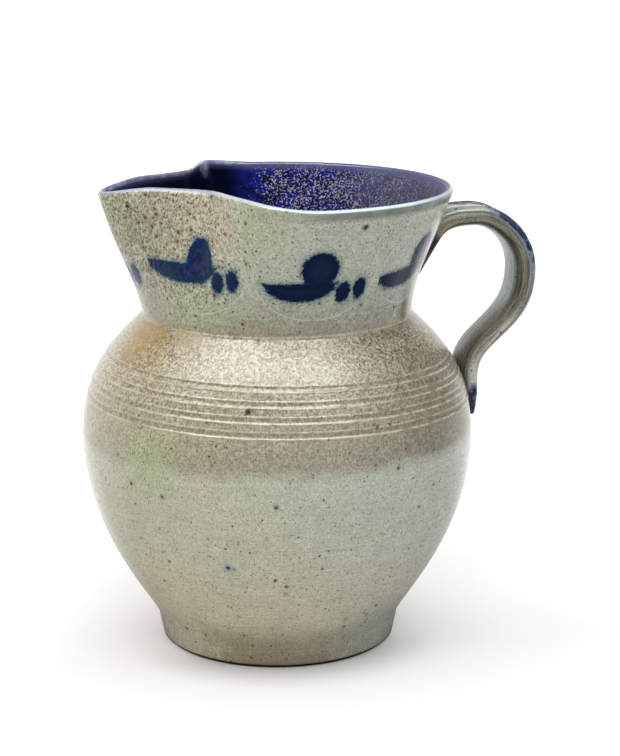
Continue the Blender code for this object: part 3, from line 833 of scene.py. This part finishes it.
def makeBrushBand():
    group, given, sent = newGroup("brushBand", ("Vector",), (), ("Stroke", "Fringe", "Core", "Loop"))
    place = given["Vector"]
    spot = addNode(group, "ShaderNodeSeparateXYZ", {"Vector": place}).outputs
    # the number of the motif, and the place within it
    spacing = 2 * math.pi / brush["repeats"]
    turn = calc(group, "ARCTAN2", spot["Y"], spot["X"])
    steps = calc(group, "DIVIDE", calc(group, "SUBTRACT", turn, math.radians(brush["firstTurn"])), spacing)
    number = calc(group, "ROUND", steps)
    which = calc(group, "FLOORED_MODULO", number, float(brush["repeats"]))
    hands = [handValue(group, which, values) for values in zip(*brushHands)]
    grown, moved, lifted, taller, longer, tailRise, dotRise, tilt = hands
    across = times(group, calc(group, "SUBTRACT", steps, number), spacing, brush["neckArc"])
    across = calc(group, "DIVIDE", calc(group, "SUBTRACT", across, moved), grown)
    up = calc(group, "SUBTRACT", calc(group, "SUBTRACT", spot["Z"], brush["height"]), lifted)
    up = calc(group, "SUBTRACT", calc(group, "DIVIDE", up, grown), times(group, across, tilt))
    # the comma's head and tail, and the dots
    raised = calc(group, "DIVIDE", up, taller)
    head = ellipseGap(group, across, raised, (0.0, 0.0), (brush["headRadius"], brush["headRadius"]))
    drawn = calc(group, "DIVIDE", across, longer)
    tailUp = calc(group, "SUBTRACT", up, tailRise)
    tail = ellipseGap(group, drawn, tailUp, brush["tailPlace"], brush["tailSize"])
    tail = calc(group, "MAXIMUM", tail, calc(group, "SUBTRACT", tailUp, brush["tailTop"]))
    gap = calc(group, "SMOOTH_MIN", head, tail, brush["join"])
    dotUp = calc(group, "SUBTRACT", up, dotRise)
    for dotPlace, size in brush["dots"]:
        gap = calc(group, "MINIMUM", gap, ellipseGap(group, across, dotUp, dotPlace, size))
    for settings, reach in brush["ragged"]:
        gap = calc(group, "MULTIPLY_ADD", swing(group, place, *settings), reach, gap)
    feed(group, sent["Stroke"], ramp(group, gap, brush["edge"], -brush["edge"]))
    feed(group, sent["Fringe"], ramp(group, gap, brush["fringe"], -brush["edge"]))
    feed(group, sent["Core"], ramp(group, gap, *brush["core"]))
    # the scratched loop, broken where the point pressed less
    loop = calc(group, "ABSOLUTE", ellipseGap(group, across, up, brush["loopPlace"], brush["loopSize"]))
    pressed = ramp(group, noise(group, place, brush["loopBreaks"]), *brush["loopDrawn"])
    feed(group, sent["Loop"], times(group, ramp(group, loop, brush["loopLine"], 0.0), pressed))
    return group


saltPeel = makeSaltPeel()
ironSpecks = makeIronSpecks()
tintPatch = makeTintPatch()
brushBand = makeBrushBand()


def patchMask(tree, place, spot, reach):
    return useGroup(tree, tintPatch, {"Vector": place, "Spot": spot, "Reach": reach})["Mask"]


def speckMask(tree, place, scale, share, size):
    feeds = {"Vector": place, "Scale": scale, "Share": share, "Size": size}
    return useGroup(tree, ironSpecks, feeds)["Mask"]


def roughen(tree, shader, surface, depth):  # fine relief of the glaze, as a bump
    feeds = {"Height": surface, "Distance": depth, "Strength": 1.0}
    feed(tree, shader.inputs["Normal"], addNode(tree, "ShaderNodeBump", feeds).outputs["Normal"])


# colours of the body from the foot up (place as a share of the rim's height), its marks and its finish
bodyLook = {
    "zones": (
        (0.000, (0.24, 0.21, 0.15)),
        (0.055, (0.29, 0.27, 0.20)),
        (0.110, (0.49, 0.46, 0.37)),
        (0.280, (0.465, 0.475, 0.405)),
        (0.455, (0.43, 0.46, 0.395)),
        (0.485, (0.325, 0.315, 0.262)),
        (0.700, (0.395, 0.36, 0.28)),
        (0.728, (0.31, 0.285, 0.215)),
        (0.765, (0.32, 0.335, 0.285)),
        (0.840, (0.43, 0.455, 0.395)),
        (0.960, (0.43, 0.455, 0.395)),
    ),
    "zoneNoise": (38.0, 4.0, 0.6), "zoneWander": 0.0040,
    "warmSide": (1.13, 1.08, 0.94), "coolSide": (0.975, 0.995, 1.02),
    # painted shade on the right of the shoulder, fading towards its right edge
    "shadySide": (0.62, 0.59, 0.51), "shadyReach": (0.004, 0.044), "shadyEnd": (-0.008, -0.030),
    # painted light on the left of the shoulder
    "litSide": (1.13, 1.14, 1.16), "litReach": (-0.026, -0.046),
    "peelStops": (
        (0.470, 0.14), (0.500, 0.40), (0.560, 0.42), (0.600, 0.70), (0.660, 0.80), (0.675, 1.00),
        (0.722, 1.00), (0.733, 0.34), (0.800, 0.28),
    ),
    "shadyZone": (0.0555, 0.0590, 0.0853, 0.0866), "peelTone": (0.47, 0.82),
    "dimple": (0.38, 0.31, 0.20), "peelTop": (1.38, 1.40, 1.42),
    "turnLines": (70.0, 70.0, 1900.0), "turnLine": (0.95, 1.045), "thick": (0.95, 1.04),
    "grain": (0.82, 1.17), "grainRange": (0.28, 0.72), "mottleRange": (0.32, 0.68),
    "rimBand": (0.17, 0.195, 0.17), "rimBandShare": (0.60, 1.00), "rimBandFade": 0.0009,
    "rimBandReach": (-0.012, 0.012),
    # the near lip's blue-white: thin glaze with a painted highlight, fading to the left and right; the far
    # lip darker blue
    "lip": (0.72, 0.88, 0.97), "lipHighlightEnd": (0.022, 0.040), "lipEndShare": 0.36,
    "lipEdge": (0.08, 0.22), "lipInner": (0.66, 0.46), "lipHighlightSide": (-0.020, 0.015), "lipShare": (0.40, 1.0),
    "lipFar": (0.04, 0.05, 0.15), "lipNear": (0.000, -0.028), "lipFarRoughness": 0.9,
    "groove": (0.21, 0.155, 0.08), "grooveDots": (0.50, 0.80), "grooveShare": (0.85, 0.25),
    "grooveSide": (-0.020, 0.040), "grooveFaint": 0.6,
    # pale burrs of thin glaze, broken by noise into painted glints
    "burr": (0.60, 0.57, 0.49), "burrGlintScale": 330.0, "burrGlintRange": (0.38, 0.58), "burrShare": (0.15, 0.80),
    "cobalt": (0.0008, 0.009, 0.041), "cobaltBlue": (0.016, 0.026, 0.220),
    "cobaltCore": (0.008, 0.017, 0.041), "coreShare": 0.8, "cobaltTeal": (0.002, 0.022, 0.050),
    "blueFlecks": (0.65, 0.86), "fleckShare": (0.10, 1.0),
    "cobaltGrey": (0.026, 0.026, 0.064), "greyReach": (-0.010, -0.020), "greyScale": 420.0,
    "greyRange": (0.44, 0.58),
    "fringe": (0.07, 0.15, 0.20), "fringeShare": 0.6,
    "scratch": (0.58, 0.57, 0.50), "scratchShare": 0.6, "scratchDepth": 1.0,
    # the foot's dark bevel, partly a painted contact shadow
    "footEdgeAndShadow": (0.013, 0.008, 0.005), "footEdgeHeight": (0.0011, 0.0007),
    "underside": (0.36, 0.27, 0.18), "undersideHeight": (0.00015, 0.00003), "undersideRoughness": 0.85,
    "roughness": 0.13, "roughnessSpread": 0.14, "insideRoughness": 0.10, "specular": 0.24,
    "peelDepth": (0.00004, 0.00011), "calmInside": 0.1,
}

# cobalt inside, broken by tan where the salt reached it, with painted shade dark in the spout, and hazy under
# the rim
insideLook = {
    "blue": (0.007, 0.013, 0.210), "navy": (0.004, 0.007, 0.050),
    "navyScale": 420.0, "navyRange": (0.54, 0.40),
    "tan": (0.50, 0.44, 0.30), "ash": (0.30, 0.28, 0.30), "ashRange": (0.42, 0.58),
    # painted shade deep in the spout
    "spoutShade": (0.001, 0.003, 0.015), "spoutShadeReach": (0.004, -0.007),
    "dust": (0.075, 0.075, 0.115), "dustSide": (0.018, 0.040), "dustShare": 0.55, "dustRoughness": 0.9,
    "haze": (0.12, 0.12, 0.27), "hazeShare": 0.80, "spoutHaze": 0.60, "hazeDrop": (0.0026, 0.0008),
    # the spout's pale broken edge: a painted highlight
    "pale": (0.38, 0.42, 0.57), "edgeHighlightDrop": (0.0013, 0.0006), "edgeHighlightRange": (0.40, 0.60),
    "edgeHighlightShare": (0.45, 0.95),
    "speckNoise": (2000.0, 3.0, 0.6), "speckEdge": 0.025, "speckLimit": (0.70, 0.545),
    "speckReach": (-0.005, 0.011), "cloudScale": 130.0, "cloud": 0.16, "edge": (0.56, 0.72),
}

# colours that the kiln left in places, and a paler patch low on the left of the foot: where, how far, which
# colour and how strong
tints = {
    "greenSpout": ((-0.0405, -0.0056, 0.1100), 0.011, (0.36, 0.44, 0.25), 0.75),
    "tanSpout": ((-0.0340, -0.0120, 0.1075), 0.024, (0.36, 0.34, 0.265), 0.75),
    "greenRim": ((-0.0133, -0.0380, 0.1160), 0.012, (0.40, 0.47, 0.29), 0.65),
    "greenNeck": ((-0.0233, -0.0247, 0.0930), 0.013, (0.38, 0.45, 0.28), 0.65),
    "greenBelly": ((-0.0381, -0.0325, 0.0576), 0.012, (0.40, 0.46, 0.26), 0.70),
    "tanLip": ((-0.0198, -0.0245, 0.1155), 0.016, (0.49, 0.44, 0.32), 0.75),
    "brownNeck": ((0.0284, -0.0190, 0.0882), 0.006, (0.15, 0.12, 0.075), 0.80),
    "brownStreak": ((0.0290, -0.0190, 0.0930), 0.005, (0.17, 0.14, 0.09), 0.75),
    "greenComma": ((-0.0320, -0.0150, 0.1030), 0.009, (0.37, 0.43, 0.27), 0.60),
    "pinkFoot": ((-0.0361, -0.0161, 0.0197), 0.010, (0.55, 0.42, 0.31), 0.60),
    # paler low on the left of the foot
    "paleFoot": ((-0.0270, -0.0150, 0.0040), 0.018, (0.50, 0.47, 0.35), 0.85),
    "greyFoot": ((0.0200, -0.0240, 0.0060), 0.020, (0.33, 0.35, 0.31), 0.75),
    "greenBack": ((0.0150, 0.0380, 0.1080), 0.013, (0.38, 0.46, 0.27), 0.65),
}

# flashes of the flame on the shoulder, which stop at the neck line
shoulderTints = {
    "flash": ((-0.0350, -0.0090, 0.0845), 0.016, (0.38, 0.255, 0.10), 0.90),
    "flashNeck": ((-0.0260, -0.0230, 0.0846), 0.007, (0.42, 0.31, 0.16), 0.65),
    "flashBack": ((0.0100, 0.0330, 0.0810), 0.018, (0.45, 0.31, 0.16), 0.70),
}

# a painted highlight on the far fold of the spout
lipHighlights = {"foldHighlight": ((-0.0140, 0.0350, 0.1196), 0.0048, (0.38, 0.45, 0.60), 0.90)}

# iron specks: scale, share of cells with one, that share where the salt flew, size, colour and strength
specks = {
    "pepper": (1150.0, 0.42, 0.55, 0.29, (0.065, 0.048, 0.030), 0.75),
    "saltPepper": (900.0, 0.03, 0.80, 0.34, (0.060, 0.040, 0.022), 0.85),
    "stain": (480.0, 0.05, 0.75, 0.48, (0.33, 0.25, 0.14), 0.60),
    "brown": (480.0, 0.05, 0.75, 0.26, (0.085, 0.052, 0.024), 0.90),
    "dark": (760.0, 0.14, 0.30, 0.22, (0.035, 0.022, 0.014), 0.90),
    "large": (330.0, 0.05, 0.35, 0.20, (0.055, 0.034, 0.018), 0.85),
}
saltSide = {"across": (-0.006, -0.024), "up": (0.0860, 0.0980), "peel": 0.75}

# single specks that show in the view: where and how far
singleSpecks = {
    "lipLeft": ((-0.0389, -0.0079, 0.1150), 0.0009),
    "spoutSide": ((-0.0314, -0.0138, 0.1115), 0.0008),
    "bellyFront": ((-0.0099, -0.0488, 0.0482), 0.0012),
    "rimFront": ((0.0134, -0.0411, 0.1134), 0.0012),
    "shoulderFront": ((-0.0156, -0.0440, 0.0708), 0.0011),
    "neckFoot": ((-0.0112, -0.0334, 0.0852), 0.0009),
}
singleColour = (0.045, 0.028, 0.016)
blueSpeck = {
    "spot": (-0.0202, -0.0407, 0.0312), "reach": 0.0009,
    "halo": 0.0022, "haloColour": (0.22, 0.30, 0.40), "haloShare": 0.6,
}


def tinted(tree, colour, place, patches, within=1.0):  # patches of other colours, kept within a mask
    for spotPlace, reach, tintColour, share in patches.values():
        colour = layer(tree, colour, tintColour, patchMask(tree, place, spotPlace, reach), within, share)
    return colour


def zonedGlaze(tree, place, spot, height, skin, salted):  # zones from foot to rim, with the kiln's tints
    wander = swing(tree, place, *bodyLook["zoneNoise"])
    zoneHeight = calc(tree, "MULTIPLY_ADD", wander, bodyLook["zoneWander"], height)
    zone = calc(tree, "DIVIDE", zoneHeight, jug["rimHeight"])
    colour = colourStops(tree, zone, bodyLook["zones"])
    side = ramp(tree, spot["X"], -jug["bellyRadius"], jug["bellyRadius"])
    sideTint = blend(tree, side, bodyLook["warmSide"], bodyLook["coolSide"])
    colour = blend(tree, 1.0, colour, sideTint, "MULTIPLY")
    low, lowFull, highFull, high = bodyLook["shadyZone"]
    shoulder = times(tree, ramp(tree, zoneHeight, low, lowFull), ramp(tree, height, high, highFull))
    # painted shade on the right of the shoulder
    shady = ramp(tree, spot["X"], *bodyLook["shadyReach"])
    front = ramp(tree, spot["Y"], *bodyLook["shadyEnd"])
    colour = layer(tree, colour, bodyLook["shadySide"], shady, shoulder, front, mode="MULTIPLY")
    # painted light on the left of the shoulder
    pale = ramp(tree, spot["X"], *bodyLook["litReach"])
    colour = layer(tree, colour, bodyLook["litSide"], pale, shoulder, mode="MULTIPLY")
    colour = tinted(tree, colour, place, tints)
    # salt peel, strong on the shoulder and calm elsewhere
    tone = ramp(tree, skin["Height"], *bodyLook["peelTone"])
    peelTint = blend(tree, tone, bodyLook["dimple"], bodyLook["peelTop"])
    peelShare = valueStops(tree, zone, bodyLook["peelStops"])
    peelShare = calc(tree, "MAXIMUM", peelShare, times(tree, salted, saltSide["peel"]))
    colour = blend(tree, peelShare, colour, peelTint, "MULTIPLY")
    colour = tinted(tree, colour, place, shoulderTints, shoulder)
    # thick and thin glaze, grain, and the faint rings of the throwing
    thick = ramp(tree, skin["Mottle"], *bodyLook["mottleRange"], *bodyLook["thick"])
    grain = ramp(tree, skin["Grain"], *bodyLook["grainRange"], *bodyLook["grain"])
    rings = noise(tree, stretched(tree, place, bodyLook["turnLines"]), 1.0)
    rings = ramp(tree, rings, *bodyLook["grainRange"], *bodyLook["turnLine"])
    return darken(tree, colour, times(tree, thick, grain, rings)), peelShare


def toolMarked(tree, colour, place, spot, height, skin):  # dark grooves, pale burrs and a band at the rim
    dotted = ramp(tree, skin["Height"], *bodyLook["grooveDots"], *bodyLook["grooveShare"])
    faint = ramp(tree, spot["X"], *bodyLook["grooveSide"], bodyLook["grooveFaint"], 1.0)
    colour = layer(tree, colour, bodyLook["groove"], attribute(tree, "grooveShare"), dotted, faint)
    # pale burrs of thin glaze, broken by noise into painted glints
    broken = noise(tree, place, bodyLook["burrGlintScale"])
    broken = ramp(tree, broken, *bodyLook["burrGlintRange"], *bodyLook["burrShare"])
    colour = layer(tree, colour, bodyLook["burr"], attribute(tree, "burrShare"), broken)
    rimLine = jug["rimHeight"] - toolMarks["rimLineDrop"]
    rimBand = ramp(tree, height, rimLine, rimLine + bodyLook["rimBandFade"])
    cloudy = ramp(tree, skin["Mottle"], *bodyLook["mottleRange"], *bodyLook["rimBandShare"])
    rimSide = ramp(tree, spot["X"], *bodyLook["rimBandReach"])
    return layer(tree, colour, bodyLook["rimBand"], rimBand, cloudy, rimSide)


def specked(tree, colour, place, salted):  # iron specks, more of them on the spout's side, and single ones
    for scale, share, saltedShare, size, speckColour, strength in specks.values():
        chance = ramp(tree, salted, 0.0, 1.0, share, saltedShare)
        colour = layer(tree, colour, speckColour, speckMask(tree, place, scale, chance, size), strength)
    for spotPlace, reach in singleSpecks.values():
        colour = layer(tree, colour, singleColour, patchMask(tree, place, spotPlace, reach))
    halo = patchMask(tree, place, blueSpeck["spot"], blueSpeck["halo"])
    colour = layer(tree, colour, blueSpeck["haloColour"], halo, blueSpeck["haloShare"])
    core = patchMask(tree, place, blueSpeck["spot"], blueSpeck["reach"])
    return layer(tree, colour, bodyLook["cobalt"], core)


def brushed(tree, colour, place, spot, skin, outside):  # the colour with brushwork, and the scratched loop
    band = useGroup(tree, brushBand, {"Vector": place})
    loop = times(tree, band["Loop"], outside)
    colour = layer(tree, colour, bodyLook["scratch"], loop, bodyLook["scratchShare"])
    colour = layer(tree, colour, bodyLook["fringe"], band["Fringe"], bodyLook["fringeShare"])
    paint = layer(tree, bodyLook["cobalt"], bodyLook["cobaltCore"], band["Core"], bodyLook["coreShare"])
    # greyer where the cobalt lies thick on the spout's side
    greySide = ramp(tree, spot["X"], *bodyLook["greyReach"])
    paint = layer(tree, paint, bodyLook["cobaltTeal"], greySide, rest(tree, band["Core"]))
    greyShare = ramp(tree, noise(tree, place, bodyLook["greyScale"]), *bodyLook["greyRange"])
    paint = layer(tree, paint, bodyLook["cobaltGrey"], greyShare, greySide, band["Core"])
    flecks = ramp(tree, skin["Height"], *bodyLook["blueFlecks"])
    fleckShare = ramp(tree, greySide, 0.0, 1.0, *bodyLook["fleckShare"])
    paint = layer(tree, paint, bodyLook["cobaltBlue"], flecks, fleckShare)
    return layer(tree, colour, paint, band["Stroke"]), loop


def insideGlaze(tree, place, spot, height):  # its colour, the mask of painted shade in the spout, and how dusty it lies
    broken = noise(tree, place, *insideLook["speckNoise"])
    cloud = swing(tree, place, insideLook["cloudScale"])
    salted = ramp(tree, spot["X"], *insideLook["speckReach"], *insideLook["speckLimit"])
    limit = calc(tree, "MULTIPLY_ADD", cloud, insideLook["cloud"], salted)
    tanShare = ramp(tree, broken, limit, calc(tree, "ADD", limit, insideLook["speckEdge"]))
    patchy = noise(tree, place, insideLook["navyScale"])
    under = blend(tree, ramp(tree, patchy, *insideLook["navyRange"]), insideLook["blue"], insideLook["navy"])
    over = blend(tree, ramp(tree, patchy, *insideLook["ashRange"]), insideLook["ash"], insideLook["tan"])
    colour = blend(tree, tanShare, under, over)
    dusty = ramp(tree, spot["X"], *insideLook["dustSide"], 0.0, insideLook["dustShare"])
    colour = layer(tree, colour, insideLook["dust"], dusty)
    # painted shade deep in the spout
    spoutShade = ramp(tree, spot["X"], *insideLook["spoutShadeReach"])
    colour = layer(tree, colour, insideLook["spoutShade"], spoutShade)
    # haze under the rim, thinner in the spout, and the spout's pale broken edge, a painted highlight
    hazeFoot, hazeTop = (jug["rimHeight"] - drop for drop in insideLook["hazeDrop"])
    haze = ramp(tree, height, hazeFoot, hazeTop, 0.0, insideLook["hazeShare"])
    thinner = ramp(tree, spoutShade, 0.0, 1.0, 1.0, insideLook["spoutHaze"])
    colour = layer(tree, colour, insideLook["haze"], haze, thinner)
    paleFoot, paleTop = (jug["rimHeight"] - drop for drop in insideLook["edgeHighlightDrop"])
    pale = ramp(tree, height, paleFoot, paleTop)
    patches = ramp(tree, patchy, *insideLook["edgeHighlightRange"], *insideLook["edgeHighlightShare"])
    return layer(tree, colour, insideLook["pale"], pale, spoutShade, patches), spoutShade, dusty


def lipGlaze(tree, colour, place, spot, through, spoutShade):  # the colour with the lip's, and how dull the lip is
    lip = times(tree, ramp(tree, through, *bodyLook["lipEdge"]), ramp(tree, through, *bodyLook["lipInner"]))
    near = ramp(tree, spot["Y"], *bodyLook["lipNear"])
    far = rest(tree, near)
    farLip = times(tree, lip, spoutShade, far)
    # the lip's painted highlight fades to the left and right
    lipHighlightSide = ramp(tree, spot["X"], *bodyLook["lipHighlightSide"], *bodyLook["lipShare"])
    lipHighlightEnd = ramp(tree, spot["X"], *bodyLook["lipHighlightEnd"], 1.0, bodyLook["lipEndShare"])
    lip = times(tree, lip, lipHighlightSide, lipHighlightEnd)
    colour = layer(tree, colour, blend(tree, near, bodyLook["lipFar"], bodyLook["lip"]), lip)
    # the spout's far lip takes the same painted highlight
    colour = layer(tree, colour, insideLook["pale"], farLip)
    dull = times(tree, lip, far, bodyLook["lipFarRoughness"])
    return tinted(tree, colour, place, lipHighlights), dull


def bodyGlaze():
    glaze, tree, shader = newSurface("body_glaze", bodyLook["specular"])
    place = addNode(tree, "ShaderNodeTexCoord").outputs["Object"]
    spot = addNode(tree, "ShaderNodeSeparateXYZ", {"Vector": place}).outputs
    height = attribute(tree, "rawHeight")
    through = attribute(tree, "wallShare")
    skin = useGroup(tree, saltPeel, {"Vector": place})
    inside = ramp(tree, through, *insideLook["edge"])
    outside = rest(tree, inside)
    salted = times(tree, ramp(tree, spot["X"], *saltSide["across"]), ramp(tree, height, *saltSide["up"]))
    colour, peelShare = zonedGlaze(tree, place, spot, height, skin, salted)
    colour = toolMarked(tree, colour, place, spot, height, skin)
    colour = specked(tree, colour, place, salted)
    colour, loop = brushed(tree, colour, place, spot, skin, outside)
    cobalt, spoutShade, dusty = insideGlaze(tree, place, spot, height)
    colour = layer(tree, colour, cobalt, inside)
    colour, dull = lipGlaze(tree, colour, place, spot, through, spoutShade)
    # the dark edge of the foot, partly a painted contact shadow, and the bare underside
    footEdgeAndShadow = times(tree, ramp(tree, height, *bodyLook["footEdgeHeight"]), outside)
    colour = layer(tree, colour, bodyLook["footEdgeAndShadow"], footEdgeAndShadow)
    under = times(tree, ramp(tree, height, *bodyLook["undersideHeight"]), outside)
    colour = layer(tree, colour, bodyLook["underside"], under)
    feed(tree, shader.inputs["Base Color"], colour)
    rough = calc(tree, "MULTIPLY_ADD", skin["Mottle"], bodyLook["roughnessSpread"], bodyLook["roughness"])
    rough = calc(tree, "MULTIPLY_ADD", inside, bodyLook["insideRoughness"], times(tree, rough, outside))
    dust = times(tree, dusty, inside, insideLook["dustRoughness"])
    for matt in (dust, times(tree, footEdgeAndShadow, bodyLook["undersideRoughness"]), dull):
        rough = calc(tree, "MAXIMUM", rough, matt)
    feed(tree, shader.inputs["Roughness"], rough)
    surface = calc(tree, "SUBTRACT", skin["Height"], times(tree, loop, bodyLook["scratchDepth"]))
    depth = ramp(tree, peelShare, 0.0, 1.0, *bodyLook["peelDepth"])
    depth = times(tree, depth, ramp(tree, inside, 0.0, 1.0, 1.0, bodyLook["calmInside"]))
    roughen(tree, shader, surface, depth)
    return glaze


# the strap's colours from its inner face (0) over its flank to its crest (1), with cobalt on crest and tail
strapLook = {
    "turn": (
        (0.00, (0.29, 0.345, 0.335)),
        (0.03, (0.29, 0.33, 0.31)),
        (0.09, (0.10, 0.095, 0.075)),
        (0.20, (0.085, 0.08, 0.06)),
        (0.36, (0.155, 0.15, 0.117)),
        (0.52, (0.143, 0.138, 0.11)),
        (0.64, (0.24, 0.24, 0.205)),
        (0.72, (0.16, 0.155, 0.125)),
        (0.82, (0.32, 0.33, 0.295)),
        (1.00, (0.31, 0.33, 0.30)),
    ),
    "tones": ((0.00, 1.5), (0.24, 1.45), (0.38, 1.0), (0.60, 1.0), (0.72, 1.80), (0.84, 1.5), (1.00, 1.4)),
    "turnWander": 0.10, "streakScale": (5.0, 3.0, 60.0), "streakNoise": (1.6, 4.0, 0.65),
    "streakRange": (0.36, 0.64), "streak": (0.62, 1.42), "fullLength": 0.0929, "flank": (0.04, 0.12),
    "innerLow": (0.16, 0.15, 0.125), "innerAlong": (0.054, 0.070), "innerShare": 0.8,
    "tail": (0.54, 0.55, 0.48), "tailPale": (0.074, 0.083), "tailShare": 0.8, "paleTurn": (0.30, 0.55),
    "root": (0.36, 0.27, 0.18), "rootEnd": (0.024, 0.014), "rootShare": 0.7,
    # dark where the strap meets the body: slip in the join with a painted shadow of the gap
    "join": (0.05, 0.032, 0.020), "joinRange": (0.12, 0.75), "joinShare": 0.9,
    "joinTurn": (0.60, 0.25), "joinLeast": 0.35,
    "rootDab": (0.0385, -0.0064, 0.1022), "dabReach": 0.0042,
    "cobalt": (0.014, 0.020, 0.085), "fringe": (0.18, 0.23, 0.27), "crest": (0.74, 0.52), "crestEdge": 0.24,
    "trailAlong": (0.022, 0.038), "trailSide": (-0.25, -1.40), "trailEdge": 0.40,
    "trailScale": 620.0, "trailMottle": (0.32, 0.60), "trailShare": (0.45, 1.0),
    "paleTrail": (0.05, 0.30), "darkTrail": (0.26, 0.72), "trailBegins": (0.014, 0.026),
    "trailEnds": (0.055, 0.043), "tailDab": (0.0835, 0.0875), "tailCrest": (0.28, 0.54),
    "speckScale": 420.0, "speckShare": 0.35, "speckSize": 0.17, "speck": (0.03, 0.022, 0.015),
    "grain": (0.76, 1.25), "grainRange": (0.25, 0.75),
    "roughness": 0.17, "roughnessSpread": 0.16, "trailRoughness": 0.55, "specular": 0.25,
    "peelDepth": 0.00004,
}


def cobaltTrail(tree, place, along, across, turned):  # trailed along the crest and dabbed on the tail
    low = ramp(tree, along, *strapLook["trailAlong"], *strapLook["crest"])
    crest = ramp(tree, turned, low, calc(tree, "ADD", low, strapLook["crestEdge"]))
    side = ramp(tree, along, *strapLook["trailAlong"], *strapLook["trailSide"])
    over = ramp(tree, across, side, calc(tree, "ADD", side, strapLook["trailEdge"]))
    begun = ramp(tree, along, *strapLook["trailBegins"])
    ended = ramp(tree, along, *strapLook["trailEnds"])
    dab = times(tree, ramp(tree, along, *strapLook["tailDab"]), ramp(tree, turned, *strapLook["tailCrest"]))
    trail = calc(tree, "MAXIMUM", times(tree, crest, over, begun, ended), dab)
    mottle = noise(tree, place, strapLook["trailScale"])
    return times(tree, trail, ramp(tree, mottle, *strapLook["trailMottle"], *strapLook["trailShare"]))


def handleGlaze():
    glaze, tree, shader = newSurface("handle_glaze", strapLook["specular"])
    place = addNode(tree, "ShaderNodeTexCoord").outputs["Object"]
    along = attribute(tree, "along")
    across = attribute(tree, "across")
    outwards = attribute(tree, "outwards")
    skin = useGroup(tree, saltPeel, {"Vector": place})
    # streaks that the pulling hand leaves along the strap
    feeds = {"X": across, "Y": outwards, "Z": along}
    strapPlace = addNode(tree, "ShaderNodeCombineXYZ", feeds).outputs["Vector"]
    streak = noise(tree, stretched(tree, strapPlace, strapLook["streakScale"]), *strapLook["streakNoise"])
    wander = times(tree, calc(tree, "SUBTRACT", streak, noiseMiddle), strapLook["turnWander"])
    half = 0.5  # brings -1 to 1 into 0 to 1
    turned = calc(tree, "ADD", calc(tree, "MULTIPLY_ADD", outwards, half, half), wander)
    colour = colourStops(tree, turned, strapLook["turn"])
    colour = darken(tree, colour, ramp(tree, streak, *strapLook["streakRange"], *strapLook["streak"]))
    share = calc(tree, "DIVIDE", along, strapLook["fullLength"])
    flank = ramp(tree, turned, *strapLook["flank"])
    colour = darken(tree, colour, valueStops(tree, share, strapLook["tones"]), flank)
    low = ramp(tree, along, *strapLook["innerAlong"], 0.0, strapLook["innerShare"])
    colour = layer(tree, colour, strapLook["innerLow"], rest(tree, flank), low)
    pale = ramp(tree, along, *strapLook["tailPale"], 0.0, strapLook["tailShare"])
    colour = layer(tree, colour, strapLook["tail"], pale, ramp(tree, turned, *strapLook["paleTurn"]))
    brown = ramp(tree, along, *strapLook["rootEnd"], 0.0, strapLook["rootShare"])
    colour = layer(tree, colour, strapLook["root"], brown)
    trail = cobaltTrail(tree, place, along, across, turned)
    colour = layer(tree, colour, strapLook["fringe"], ramp(tree, trail, *strapLook["paleTrail"]))
    colour = layer(tree, colour, strapLook["cobalt"], ramp(tree, trail, *strapLook["darkTrail"]))
    dab = patchMask(tree, place, strapLook["rootDab"], strapLook["dabReach"])
    colour = layer(tree, colour, strapLook["cobalt"], dab)
    # dark joins: slip and a painted shadow of the gap where the strap meets the body; grain and specks
    joinSlipAndShadow = ramp(tree, attribute(tree, "joinShare"), *strapLook["joinRange"], 0.0, strapLook["joinShare"])
    shaded = ramp(tree, turned, *strapLook["joinTurn"], strapLook["joinLeast"], 1.0)
    colour = layer(tree, colour, strapLook["join"], joinSlipAndShadow, shaded)
    colour = darken(tree, colour, ramp(tree, skin["Grain"], *strapLook["grainRange"], *strapLook["grain"]))
    mask = speckMask(tree, place, strapLook["speckScale"], strapLook["speckShare"], strapLook["speckSize"])
    feed(tree, shader.inputs["Base Color"], layer(tree, colour, strapLook["speck"], mask))
    rough = calc(tree, "MULTIPLY_ADD", skin["Mottle"], strapLook["roughnessSpread"], strapLook["roughness"])
    rough = calc(tree, "MAXIMUM", rough, times(tree, trail, strapLook["trailRoughness"]))
    feed(tree, shader.inputs["Roughness"], rough)
    roughen(tree, shader, calc(tree, "ADD", skin["Height"], streak), strapLook["peelDepth"])
    return glaze


body.data.materials.append(bodyGlaze())
handle.data.materials.append(handleGlaze())
print("glazes fired")

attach(body, "root")
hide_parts("thrown_body")
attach(handle, "root")
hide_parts("pulled_handle")
